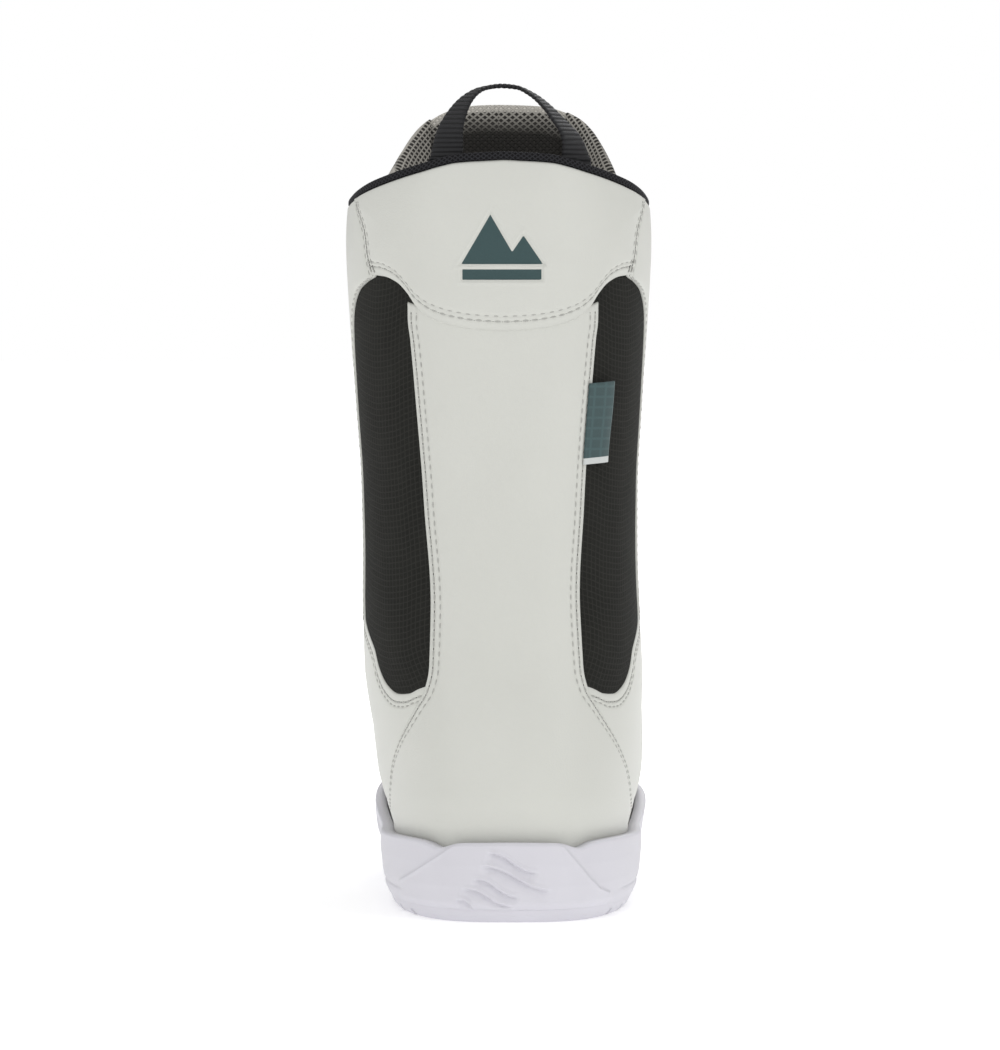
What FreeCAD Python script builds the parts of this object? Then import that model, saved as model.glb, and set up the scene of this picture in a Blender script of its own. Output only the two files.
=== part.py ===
"""Snowboard boot, right foot, women's size 24.5: a soft shell on a cup sole, with a removable
liner and a dial that winds one steel lace. +X is to the wearer's right, +Y to the toe, +Z up.
The origin is on the underside of the heel tread. Millimetres.

The upper is one smooth body. A point on it is named by an angle round the leg, 0 at the back seam,
90 at the wearer's right and 180 at the front, by a height, and by a distance out from the body.
Each panel, lining and liner piece is a sheet between two such distances."""
import FreeCAD, Part
import math
import os

# ---------------------------------------------------------------- driving dimensions
SIZE_LENGTH = 1.0          # length of the foot part, as a factor of the size 24.5 pattern
SIZE_WIDTH = 1.0           # width of the whole boot, as a factor of the same pattern
HEEL_TO_ORIGIN = 50.0      # from the back of the heel to the origin, along the foot
SHAFT_RISE = 0.0           # added height of the leg part, above the ankle

# thickness of each layer of the upper, and the air between layers
SKIN = 1.8                 # synthetic leather panels
TEXTILE_TUCK = 0.5         # the ripstop lies this far below the leather's face
STIFFENER = 2.0            # plastic and board behind the panels
LAYER_GAP = 0.35
STRAP_ROOM = 2.2           # room for the loop's webbing between stiffener and liner
LINER = 6.3                # foam liner
CAP, CAP_LOW = 1.1, 0.7    # toe cap, and the glue under it
SEAM_GAP = 0.4             # between two panels that meet edge to edge
FLEX_GAP = 2.4             # between two panels where the leg part moves on the foot part
STEEP_GAP = 2.2            # the same where their edges climb steeply, in degrees round the leg
COLLAR_PROUD = 0.8         # how far the collar panel stands out from the spine panel

# sole
TREAD = 5.0                # rubber tread, height of the lugs and their base
LUG_DEPTH = 2.6
GROOVE = 3.0
PLAN_LEVEL = 31.0          # height at which the upper's outline sets the sole's plan
POCKET_FLOOR = 22.0        # height of the cup's floor
SOLE_WALL = 5.0            # wall of the cup round the upper
CUP_GAP = 0.5
ARCH_START, ARCH_FULL = 75.0, 125.0    # between these the sole's lower edge draws in to the arch
TOE_SPRING = 9.0           # lift of the sole at the toe
TOE_SPRING_START = 218.0
HEEL_TREAD_END = 100.0
FORE_TREAD_START = 128.0
SOLE_JOINT = 0.05          # glue line between tread and cup
BOARD = 2.2                # lasting board
LINER_SOLE = 5.6
FOOTBED = 4.0
FOOTBED_CLEAR = 3.0        # from the footbed's edge to the liner's wall

# ankle flex
PIVOT_Y, PIVOT_Z = 80.0, 105.0
FLEX_DEG = 10.0

# tongue
TONGUE_GAP = 3.0           # from the tongue's edge to the flap's edge
TONGUE_FOOT = 150.0        # height where the tongue that tilts begins
TONGUE_TOP = 301.0
TONGUE_PROUD = 0.8

# dial, measured out from the tongue's face along its axis
DIAL_Z = 224.0
DIAL_TILT = 4.3            # its axis points this far below level
DIAL_CUP_R = 17.2
DIAL_FLANGE_R = DIAL_CUP_R + 3.3
DIAL_WALL = 1.8
DIAL_FLOOR = 3.4
DIAL_CUP_TOP = 10.0
PORT_LEVEL = 6.2           # height of the lace where it leaves the housing
PORT_ANGLE = 55.0          # and how far round from the lowest point
POST_R = 2.2
RUNNING = 0.06             # radial clearance of spool and carrier on the post
SPOOL_CLEAR = 3.9          # from the spool's flanges to the cup's wall
SPOOL_R = DIAL_CUP_R - DIAL_WALL - SPOOL_CLEAR
SPOOL_DEPTH = 3.3          # of the groove that the lace winds into
SPOOL_CORE_R = SPOOL_R - SPOOL_DEPTH
SPOOL_LOW, SPOOL_HIGH = 4.0, 8.4
PLATE_CLEAR = 2.8          # from the plate's edge to the cup's wall, past the ratchet's teeth
PLATE_R = DIAL_CUP_R - DIAL_WALL - PLATE_CLEAR
PLATE_LOW, PLATE_HIGH = 8.9, 11.2
POST_TOP = 12.8
KNOB_CLEAR = 0.5           # from the cup's outside to the knob's inside
KNOB_WALL = 1.3
KNOB_R = DIAL_CUP_R + KNOB_CLEAR + KNOB_WALL
KNOB_TOP = 17.0
GRIP = 1.5                 # rubber ring round the knob
GRIP_RIBS = 28

# lace and its guides
LACE_R = 0.65
ARC_SHARE = 0.45           # share of the shorter run that each bend of a cord takes
GUIDE_BORE_R = 1.1
GUIDE_R = 2.7
GUIDE_CLEAR = 0.1          # under the guide's foot
GUIDE_TURN = 5.0           # radius of the lace's turn in a guide
GUIDE_LEVELS = (198.0, 162.0, 102.0, 84.0)
GUIDE_SETBACK = 8.5        # from the flap's edge to the far side of the turn
LACE_LIFT = 3.6            # the lace's middle stands this far off the flaps
CROSSING_RISE = 1.6        # and this much further off where it crosses the tongue
GUIDE_FOOT_TOP = 1.6       # height of a guide's foot over the panel that it is sewn to
LACE_PASS = 0.9            # where two strands cross, each moves this far from the other

# pull loop
LOOP_WIDTH = 15.0
LOOP_THICK = 1.5
LOOP_HINGE_Z = 296.0
LOOP_SHIFT = 3.4           # the loop stands a little to the wearer's right
LOOP_HALF_SPAN = 26.6
LOOP_FORWARD = 5.0         # its middle stands this far forward of its ends
# how far the webbing is turned from lying along the collar, by the share of its way
LOOP_TURN = [(0.0, 42.0), (0.12, 58.0), (0.5, 90.0), (0.88, 112.0), (1.0, 126.0)]
COLLAR_RADIUS = 52.0       # of the collar's back, where the loop's ends are sewn in
LOOP_SWING_ROOM = 5.4      # from the loop's lower edges to the ends sewn into the collar, for its swing
# the webbing's middle line, as (share of the half span from the loop's middle, height over the hinge)
LOOP_ARCH = [(-1.0, 0.0), (-0.97, 5.6), (-0.84, 13.7), (-0.64, 19.8), (-0.44, 22.4), (-0.15, 23.4),
             (0.08, 22.9), (0.34, 20.0), (0.56, 15.6), (0.79, 9.2), (0.95, 4.0), (1.0, 0.0)]

# label sewn into the seam of the spine panel
LABEL_LOW, LABEL_HIGH = 174.0, 205.2
LABEL_WIDTH = 9.0
LABEL_THICK = 0.7


# ---------------------------------------------------------------- curves of height
def eased(knots):
    """A smooth curve through (place, value) knots that never overshoots them, held flat outside."""
    xs = [k[0] for k in knots]
    ys = [k[1] for k in knots]
    steps = [(ys[i + 1] - ys[i]) / (xs[i + 1] - xs[i]) for i in range(len(xs) - 1)]
    slopes = [steps[0]]
    for before, after in zip(steps, steps[1:]):
        slopes.append(0.0 if before * after <= 0 else 2 * before * after / (before + after))
    slopes.append(steps[-1])

    def value(x):
        if x <= xs[0]:
            return ys[0]
        if x >= xs[-1]:
            return ys[-1]
        i = max(k for k in range(len(xs) - 1) if xs[k] <= x)
        h = xs[i + 1] - xs[i]
        t = (x - xs[i]) / h
        return ((1 + 2 * t) * (1 - t) ** 2 * ys[i] + t * (1 - t) ** 2 * h * slopes[i]
                + t * t * (3 - 2 * t) * ys[i + 1] + t * t * (t - 1) * h * slopes[i + 1])

    return value


half_width = eased([(22, 48.8), (31, 49.8), (38, 52.0), (48, 53.8), (62, 54.6), (82, 55.0),
                    (105, 54.8), (140, 54.0),
                    (165, 54.4), (195, 56.2), (235, 58.6), (262, 59.8), (285, 59.2), (322, 58.0)])
heel_line = eased([(22, 4.4), (31, 3.4), (38, 1.4), (48, 0.0), (65, 1.0), (85, 4.0), (105, 8.0),
                   (135, 13.0),
                   (170, 17.0), (210, 19.5), (250, 20.5), (285, 20.0), (322, 20.0)])
toe_line = eased([(22, 264.0), (31, 267.0), (40, 268.8), (46, 268.6), (51, 265.5), (57, 258.0), (62, 249.0),
                  (67, 238.0), (72, 225.5), (78, 212.0), (86, 199.5), (96, 189.0), (108, 180.5),
                  (122, 173.5),
                  (140, 168.5), (160, 165.5), (190, 165.0), (230, 168.0), (270, 172.5), (322, 179.0)])
widest_line = eased([(22, 182.0), (50, 174.0), (70, 150.0), (90, 118.0), (110, 99.0), (135, 92.0),
                     (170, 92.0), (322, 100.0)])
back_fullness = eased([(22, 3.1), (60, 3.0), (100, 2.7), (150, 2.5), (322, 2.4)])
front_fullness = eased([(22, 2.5), (50, 2.4), (80, 2.1), (120, 2.2), (160, 2.4), (322, 2.5)])
front_taper = eased([(22, 0.06), (50, 0.10), (72, 0.22), (96, 0.32), (125, 0.25), (160, 0.16), (322, 0.12)])
centre_line = eased([(22, 0.0), (50, -0.6), (90, -3.0), (130, -4.3), (250, -5.0), (322, -5.0)])
seam_turn = eased([(60, 0.0), (130, 2.0), (322, 2.0)])

TOE_SWING = 7.0            # the toe turns this far to the inside of the foot
WAIST_PINCH = 0.05         # the arch is narrower by this share


def pattern_height(z):
    """The height on the unstretched pattern: SHAFT_RISE lengthens only the part above the ankle."""
    low, high = PIVOT_Z, 322.0
    if z <= low:
        return z
    return low + (z - low) * (high - low) / (high - low + SHAFT_RISE)


def outline(phi, z, turned=True):
    """Where the body's surface stands at an angle, in degrees, and a height: a fuller or slimmer
    ellipse behind the widest line and another in front of it, whose sides draw in to the front.
    The back seam of the leg stands a little to the wearer's right, so angles are turned by that."""
    h = pattern_height(z)
    if turned:
        phi += seam_turn(h) * (1 + math.cos(math.radians(phi))) / 2
    a = math.radians(phi)
    s, c = math.sin(a), math.cos(a)
    n = back_fullness(h) if c > 0 else front_fullness(h)
    r = (abs(s) ** n + abs(c) ** n) ** (-1.0 / n)
    widest = widest_line(h)
    reach = widest - heel_line(h) if c > 0 else toe_line(h) - widest
    y = widest - reach * r * c
    x = half_width(h) * r * s
    if c < 0:
        b = -r * c
        x *= 1 - front_taper(h) * b * b * (3 - 2 * b)
    low = max(0.0, min(1.0, (90.0 - h) / 50.0))
    x *= 1 - WAIST_PINCH * low * math.exp(-((y - 112.0) / 36.0) ** 2)
    swing = max(0.0, (y - 180.0) / 90.0)
    x -= TOE_SWING * swing * swing
    return (x + centre_line(h)) * SIZE_WIDTH, y * SIZE_LENGTH - HEEL_TO_ORIGIN


def body_point(phi, z, out=0.0):
    """The body's surface, moved straight out from it by a distance."""
    x, y = outline(phi, z)
    if out == 0.0:
        return FreeCAD.Vector(x, y, z)
    x1, y1 = outline(phi + 0.5, z)
    x0, y0 = outline(phi - 0.5, z)
    xu, yu = outline(phi, z + 0.5)
    xd, yd = outline(phi, z - 0.5)
    round_it = FreeCAD.Vector(x1 - x0, y1 - y0, 0)
    up_it = FreeCAD.Vector(xu - xd, yu - yd, 1.0)
    normal = round_it.cross(up_it)
    normal.normalize()
    return FreeCAD.Vector(x, y, z) + normal * out


def angle_at(x, z, front=False):
    """The angle whose surface stands x to the right of the centre line at a height."""
    h = pattern_height(z)
    middle = centre_line(h)
    low, high = (90.0, 180.0) if front else (0.0, 90.0)
    for _ in range(36):
        phi = (low + high) / 2
        if (outline(phi, z, False)[0] / SIZE_WIDTH - middle > x) == front:
            low = phi
        else:
            high = phi
    return (low + high) / 2


# ---------------------------------------------------------------- seam lines, as (angle, height)
def rear(x, z):
    """A seam point given by its distance from the centre line as seen from behind."""
    return angle_at(x, z), z


def top_line(phi):
    """Height of the collar's edge round the leg."""
    return TOP_OF_COLLAR(abs(phi)) + SHAFT_RISE


def rim_points(start, end, lift=0.0):
    """Points along the collar's edge, close enough to carry its shape."""
    count = max(2, int((end - start) / 6.0))
    angles = [start + (end - start) * k / count for k in range(count + 1)]
    return [(a, top_line(a) + lift) for a in angles]


TOP_OF_COLLAR = eased([(0, 290.8), (17, 289.8), (30, 286.5), (48, 281.2), (66, 276.3), (80, 273.6),
                       (95, 272.5), (110, 273.5), (128, 276.5), (150, 279.5)])
throat_half = eased([(84, 13.0), (100, 18.5), (130, 24.5), (200, 29.0), (285, 33.0)])


def throat(z, inset=0.0):
    """The flap's front edge at a height, as an angle on the wearer's right."""
    return angle_at(throat_half(pattern_height(z)) - inset, z, front=True)


def up(z):
    """A height on the pattern above the ankle, raised with the leg part."""
    if z <= PIVOT_Z:
        return z
    return PIVOT_Z + (z - PIVOT_Z) * (322.0 - PIVOT_Z + SHAFT_RISE) / (322.0 - PIVOT_Z)


PANEL_FOOT = POCKET_FLOOR + 0.4        # the panels' lower edges stand just off the cup's floor
SPINE_EDGE = [rear(x, up(z)) for x, z in (
    (45.6, PANEL_FOOT), (46.6, 34), (47.2, 44), (46.2, 55), (43.0, 66), (39.0, 74.5), (35.0, 82),
    (31.8, 88),
    (29.8, 97), (28.9, 119), (30.9, 157), (33.6, 194), (36.0, 222), (36.9, 229.5), (37.0, 236.5))]
COLLAR_LOW = [rear(x, up(z)) for x, z in (
    (0, 225.2), (10, 225.7), (20, 227.3), (28, 230.2), (33.2, 234.4), (36.8, 239.8), (40.5, 243.8),
    (45.5, 246.2),
    (50.5, 246.8))]
COLLAR_SIDE = [COLLAR_LOW[-1], rear(52.0, up(253.5)), rear(53.0, up(262.5)), (66.0, top_line(66.0))]
TEXTILE_LOW = [rear(x, up(z)) for x, z in (
    (31.2, 91.5), (34.0, 88.6), (38.0, 86.4), (42.0, 85.8), (46.0, 88.2), (49.2, 94.5), (51.0, 102.5))]
TEXTILE_FRONT = [TEXTILE_LOW[-1], (77, up(112)), (83, up(140)), (87, up(172)), (84, up(205)), (76, up(229))]
TEXTILE_TOP = [rear(x, up(z)) for x, z in (
    (37.0, 236.5), (38.6, 240.2), (42.0, 243.4), (46.5, 244.6), (51.0, 243.8),
    (54.8, 240.0))] + [(76, up(229))]
TEXTILE_BACK = [TEXTILE_LOW[0]] + [p for p in SPINE_EDGE if up(93) < p[1] < up(229)] + [TEXTILE_TOP[0]]
THROAT_CORNER = (throat(96), 96)
VAMP_SEAM = [(90, PANEL_FOOT), (92, 34), (97, 48), (106, 62), (118, 75), (129, 83.5), (143, 90.5),
             THROAT_CORNER]
FLAP_LOW = [(80, up(110)), (95, up(113)), (115, up(119)), (throat(up(127)), up(127))]


# ---------------------------------------------------------------- solids
def chord_curve(points):
    """A function of 0 to 1 that runs through points at even speed, with rounded corners."""
    way = [0.0]
    for (a0, z0), (a1, z1) in zip(points, points[1:]):
        way.append(way[-1] + math.hypot(a1 - a0, z1 - z0))
    places = [w / way[-1] for w in way]
    angle = eased(list(zip(places, [p[0] for p in points])))
    height = eased(list(zip(places, [p[1] for p in points])))
    return lambda s: (angle(s), height(s))


def four_sided(low, right, top, left):
    """The map of a patch whose four edges are given: low and top run rightwards, the others up."""
    edges = [chord_curve(e) if isinstance(e, list) else e for e in (low, right, top, left)]
    bottom, end, lid, start = edges
    corners = bottom(0.0), bottom(1.0), lid(0.0), lid(1.0)

    def place(s, t):
        found = []
        for k in (0, 1):
            across = (1 - t) * bottom(s)[k] + t * lid(s)[k]
            along = (1 - s) * start(t)[k] + s * end(t)[k]
            twist = ((1 - s) * (1 - t) * corners[0][k] + s * (1 - t) * corners[1][k]
                     + (1 - s) * t * corners[2][k] + s * t * corners[3][k])
            found.append(across + along - twist)
        return tuple(found)

    return place


def surface(grid):
    fitted = Part.BSplineSurface()
    fitted.interpolate(grid)
    return fitted.toShape()


def slab(outer, inner):
    """A closed solid between two grids of points of one size."""
    faces = [surface(outer), surface(inner)]
    rims = [(outer[0], inner[0]), (outer[-1], inner[-1]),
            ([row[0] for row in outer], [row[0] for row in inner]),
            ([row[-1] for row in outer], [row[-1] for row in inner])]
    lids = []
    for edge_a in faces[0].Edges:
        middle = edge_a.valueAt((edge_a.FirstParameter + edge_a.LastParameter) / 2)
        rim = min(rims, key=lambda r: min((p - middle).Length for p in r[0]))
        target = rim[1][len(rim[1]) // 2]
        edge_b = min(faces[1].Edges, key=lambda e: e.distToShape(Part.Vertex(target))[0])
        lids.append(Part.makeRuledSurface(edge_a, edge_b))
    shell = Part.makeShell([f for s in faces + lids for f in s.Faces])
    shell.sewShape()
    solid = Part.makeSolid(shell)
    if solid.Volume < 0:
        solid.reverse()
    return solid


def sheet(place, out, inn, around, rise):
    """A layer of the upper over a patch, from a distance inn to a distance out off the body."""
    def grid(distance):
        return [[body_point(*place(i / around, j / rise), distance) for j in range(rise + 1)]
                for i in range(around + 1)]

    return slab(grid(out), grid(inn))


def mirrored(points):
    return [(-a, z) for a, z in points]


def beyond(points):
    """The same line on the wearer's left, with its angles counted on past the front."""
    return [(360 - a, z) for a, z in points]


def both_sides(points):
    """A line from the left edge to the right one, from its right half."""
    return mirrored(points)[::-1] + points[1:]


def ring_wire(z, shape_z, out, drawn_in=0.0, count=72):
    """A closed curve at height z that follows the body's outline at shape_z, moved out in plan. In
    front of the heel it is drawn in by a further distance."""
    points = []
    for k in range(count):
        phi = 360.0 * k / count
        x1, y1 = outline(phi + 0.5, shape_z)
        x0, y0 = outline(phi - 0.5, shape_z)
        x, y = outline(phi, shape_z)
        length = math.hypot(x1 - x0, y1 - y0)
        share = max(0.0, min(1.0, (y - heel_y(ARCH_START)) / ((ARCH_FULL - ARCH_START) * SIZE_LENGTH)))
        move = out - drawn_in * share * share * (3 - 2 * share)
        points.append(FreeCAD.Vector(x + (y1 - y0) / length * move, y - (x1 - x0) / length * move, z))
    curve = Part.BSplineCurve()
    curve.interpolate(points, PeriodicFlag=True)
    return Part.Wire(curve.toShape())


def plan_stack(levels):
    """A solid through plan outlines, each given as (height, distance out from the upper's outline,
    distance drawn in under the arch and forefoot)."""
    rings = [ring_wire(z, PLAN_LEVEL, out, drawn_in) for z, out, drawn_in in levels]
    return Part.makeLoft(rings, True, False)


def heel_y(y):
    """A distance forward of the heel's back, in the model's own frame."""
    return y * SIZE_LENGTH - HEEL_TO_ORIGIN


def box(x0, x1, y0, y1, z0, z1):
    return Part.makeBox(x1 - x0, y1 - y0, z1 - z0, FreeCAD.Vector(x0, y0, z0))


def side_prism(profile):
    """A prism across the boot over a side profile of (y, z) points, closed below or above by the caller."""
    wide = 90.0 * SIZE_WIDTH
    points = [FreeCAD.Vector(-wide, y, z) for y, z in profile]
    face = Part.Face(Part.makePolygon(points + [points[0]]))
    return face.extrude(FreeCAD.Vector(2 * wide, 0, 0))


# ---------------------------------------------------------------- sole
def underside(y):
    """Height of the sole's lowest line at a distance forward of the heel."""
    past = max(0.0, (y - TOE_SPRING_START) / (280.0 - TOE_SPRING_START))
    return TOE_SPRING * past * past


def below_sole():
    """What the toe's lift takes away from the sole."""
    steps = 14
    far = 300.0
    profile = [(heel_y(TOE_SPRING_START), -20.0)]
    for k in range(steps + 1):
        y = TOE_SPRING_START + (far - TOE_SPRING_START) * k / steps
        profile.append((heel_y(y), underside(y)))
    profile.append((heel_y(far), -20.0))
    return side_prism(profile)


def above_tread():
    """What lies above the tread: the cup's underside, from heel to toe."""
    steps = 14
    far = 300.0
    top = TREAD - SOLE_JOINT
    profile = [(heel_y(-40.0), 60.0), (heel_y(-40.0), top), (heel_y(TOE_SPRING_START), top)]
    for k in range(1, steps + 1):
        y = TOE_SPRING_START + (far - TOE_SPRING_START) * k / steps
        profile.append((heel_y(y), underside(y) + TREAD - SOLE_JOINT))
    profile.append((heel_y(far), 60.0))
    return side_prism(profile)


rim_height = eased([(-6, 30.5), (20, 30.8), (60, 29.5), (112, 28.0), (160, 32.0), (200, 36.0),
                    (240, 38.5), (282, 40.0)])


def above_rim():
    steps = 30
    profile = [(heel_y(-30.0), 80.0)]
    for k in range(steps + 1):
        y = -12.0 + 306.0 * k / steps
        profile.append((heel_y(y), rim_height(y)))
    profile.append((heel_y(300.0), 80.0))
    return side_prism(profile)


def sole_parts():
    wall = SOLE_WALL + CUP_GAP
    blank = plan_stack([(TREAD, wall - 3.2, 4.4), (8.0, wall - 1.9, 4.6), (14.0, wall - 0.7, 3.8),
                        (22.0, wall, 1.6),
                        (32.0, wall, 0.0), (46.0, wall - 0.4, 0.0)])
    pocket_levels = (POCKET_FLOOR, 26, 30, 34, 38, 42, 46)
    pocket = Part.makeLoft([ring_wire(z, z, CUP_GAP) for z in pocket_levels], True, False)
    toe_cut = below_sole()
    raised_cut = toe_cut.copy()
    raised_cut.translate(FreeCAD.Vector(0, 0, TREAD))
    shank_length, shank_width, shank_thick = 104.0 * SIZE_LENGTH, 34.0, 2.4
    shank_place = box(-shank_width / 2, shank_width / 2, heel_y(58.0), heel_y(58.0) + shank_length,
                      POCKET_FLOOR - shank_thick, POCKET_FLOOR)
    cup = blank.cut(pocket).cut(above_rim()).cut(raised_cut).cut(shank_place)
    shank = box(-shank_width / 2 + 0.2, shank_width / 2 - 0.2, heel_y(58.0) + 0.2,
                heel_y(58.0) + shank_length - 0.2, POCKET_FLOOR - shank_thick + 0.1, POCKET_FLOOR - 0.1)
    shank = shank.makeFillet(4.0, [e for e in shank.Edges if abs(e.tangentAt(0).z) > 0.9])

    heel_end, fore_start = heel_y(HEEL_TREAD_END), heel_y(FORE_TREAD_START)
    wide = 90.0 * SIZE_WIDTH
    tread = plan_stack([(0.0, wall - 6.4, 5.0), (2.2, wall - 4.6, 4.8), (TREAD, wall - 3.6, 4.6),
                        (12.0, wall - 2.2, 4.6), (TREAD + TOE_SPRING + 3.0, wall - 1.6, 4.0)])
    tread = tread.cut(toe_cut).cut(above_tread())
    heel_tread = tread.common(box(-wide, wide, heel_y(-20.0), heel_end, -1, TREAD + 1))
    fore_tread = tread.common(box(-wide, wide, fore_start, heel_y(300.0), -1, 40))
    heel_tread = heel_tread.cut(Part.makeCompound(grooves(heel_y(14.0), heel_end - 8.0)))
    fore_grooves = grooves(fore_start + 10.0, heel_y(TOE_SPRING_START) - 4.0)
    fore_tread = fore_tread.cut(Part.makeCompound(fore_grooves))
    return {"midsole_cup": cup, "shank_plate": shank, "heel_tread": heel_tread,
            "forefoot_tread": fore_tread}


def grooves(y_from, y_to):
    """Chevron grooves across a tread, which leave a row of lugs on each side and a middle row."""
    pitch = 15.0
    count = int((y_to - y_from) // pitch)
    cuts = []
    for k in range(count):
        y = y_from + (k + 0.5) * (y_to - y_from) / count
        for side in (-1, 1):
            bar = box(0, 70 * SIZE_WIDTH, -GROOVE / 2, GROOVE / 2, -1, LUG_DEPTH)
            bar.translate(FreeCAD.Vector(13.0, 0, 0))
            bar.rotate(FreeCAD.Vector(0, 0, 0), FreeCAD.Vector(0, 0, 1), 14.0)
            if side < 0:
                bar = bar.mirror(FreeCAD.Vector(0, 0, 0), FreeCAD.Vector(1, 0, 0))
            bar.translate(FreeCAD.Vector(0, y, 0))
            cuts.append(bar)
    for side in (-1, 1):
        cuts.append(box(side * 21.0 - GROOVE / 2, side * 21.0 + GROOVE / 2, y_from, y_to, -1, LUG_DEPTH))
    return cuts


def level_plate(low, high, out):
    """A plate whose edge follows the upper's outline at its own height."""
    return Part.makeLoft([ring_wire(low, low, out), ring_wire(high, high, out)], True, True)


def inner_soles():
    stiffener_in = SKIN + LAYER_GAP + STIFFENER
    liner_in = stiffener_in + STRAP_ROOM + LINER
    board_low = POCKET_FLOOR + SOLE_JOINT
    board = level_plate(board_low, board_low + BOARD, -(stiffener_in + CUP_GAP))
    sole_low = board_low + BOARD + 0.2
    liner_sole = level_plate(sole_low, sole_low + LINER_SOLE, -(stiffener_in + 1.2))
    bed_low = sole_low + LINER_SOLE + 0.2
    footbed = level_plate(bed_low, bed_low + FOOTBED, -(liner_in + FOOTBED_CLEAR))
    top_edges = [e for e in footbed.Edges if e.BoundBox.ZMin > bed_low + FOOTBED - 0.1]
    footbed = footbed.makeFillet(1.2, top_edges)
    return {"lasting_board": board, "liner_sole": liner_sole, "footbed": footbed}


# ---------------------------------------------------------------- upper
def upper_parts():
    parts = {}
    spine_top = [(a, z - FLEX_GAP) for a, z in COLLAR_LOW if z - FLEX_GAP < SPINE_EDGE[-1][1] - 1.5]
    spine_top.append(SPINE_EDGE[-1])
    low_right = SPINE_EDGE[0]
    spine = four_sided([(-low_right[0], PANEL_FOOT), (0, PANEL_FOOT), low_right], SPINE_EDGE,
                       both_sides(spine_top), mirrored(SPINE_EDGE))
    parts["heel_and_spine_panel"] = sheet(spine, 0.0, -SKIN, 28, 64)
    side_top = rim_points(0, 66)
    collar = four_sided(both_sides(COLLAR_LOW), COLLAR_SIDE, both_sides(side_top), mirrored(COLLAR_SIDE))
    parts["collar_panel"] = sheet(collar, COLLAR_PROUD, -SKIN, 40, 14)

    gap = 0.5
    for side, name in ((1, "right"), (-1, "left")):
        def on_side(points, shift=0.0, lift=0.0):
            return [(side * (a + shift), z + lift) for a, z in points]

        textile = four_sided(on_side(TEXTILE_LOW, 0, 0.0), on_side(TEXTILE_FRONT, -2 * gap),
                             on_side(TEXTILE_TOP),
                             on_side(TEXTILE_BACK, gap))
        parts["side_textile_" + name] = sheet(textile, -TEXTILE_TUCK, -SKIN, 16, 34)

        under = [(SPINE_EDGE[7][0] + gap, SPINE_EDGE[7][1] - FLEX_GAP / 2)]
        under += [(a, z - FLEX_GAP) for a, z in TEXTILE_LOW[1:5]]
        under += [(a + STEEP_GAP, z - FLEX_GAP) for a, z in TEXTILE_LOW[5:]]
        flap_start = [(FLAP_LOW[0][0], FLAP_LOW[0][1] - FLEX_GAP)]
        quarter_top = under + flap_start + [(a, z - SEAM_GAP) for a, z in FLAP_LOW[1:]]
        front = [(a - gap, z) for a, z in VAMP_SEAM[:5]]
        front += [(a - gap, z + SEAM_GAP) for a, z in VAMP_SEAM[5:]]
        front += [(throat(108), 108), (FLAP_LOW[-1][0], FLAP_LOW[-1][1] - SEAM_GAP)]
        back = [(a + gap, z) for a, z in SPINE_EDGE[:7]] + [under[0]]
        quarter = four_sided(on_side([back[0], (75, PANEL_FOOT), front[0]]), on_side(front),
                             on_side(quarter_top),
                             on_side(back))
        parts["quarter_" + name] = sheet(quarter, 0.0, -SKIN, 32, 36)

        flap_back = [(80, up(110))] + TEXTILE_FRONT[2:] + [
            (angle_at(55.2, up(240.5)) + 2 * gap, up(241.0)), (angle_at(53.0, up(243.5)) + gap, up(244.4))]
        flap_back += [(a + gap, z + SEAM_GAP) for a, z in COLLAR_SIDE[:1]]
        flap_back += [(a + gap, z) for a, z in COLLAR_SIDE[1:]]
        flap_front = [(throat(up(z)), up(z)) for z in (127, 150, 180, 210, 240, 262)]
        corner = throat(top_line(146))
        flap_front.append((corner, top_line(corner)))
        flap_top = rim_points(66 + gap, flap_front[-1][0])
        flap = four_sided(on_side(FLAP_LOW), on_side(flap_front), on_side(flap_top), on_side(flap_back))
        parts["cuff_flap_" + name] = sheet(flap, 0.0, -SKIN, 22, 34)

    vamp_top = [VAMP_SEAM[-1], (172, 99.8), (180, 101.5)]
    vamp = four_sided([(90, PANEL_FOOT), (180, PANEL_FOOT), (270, PANEL_FOOT)], beyond(VAMP_SEAM),
                      vamp_top + beyond(vamp_top[:-1])[::-1], VAMP_SEAM)
    parts["vamp"] = sheet(vamp, 0.0, -SKIN, 52, 40)
    cap_low, cap_high = rim_height(275) + 1.5, 61.0
    corner_low = rim_height(245) + 1.0
    toe_low = [(120, corner_low), (150, cap_low), (180, cap_low), (210, cap_low), (240, corner_low)]
    toe_top = [(124, 50), (148, 57), (180, cap_high), (212, 57), (236, 50)]
    cap = four_sided(toe_low, [toe_low[-1], toe_top[-1]], toe_top, [toe_low[0], toe_top[0]])
    parts["toe_cap"] = sheet(cap, CAP_LOW + CAP, CAP_LOW, 40, 10)
    return parts


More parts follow.
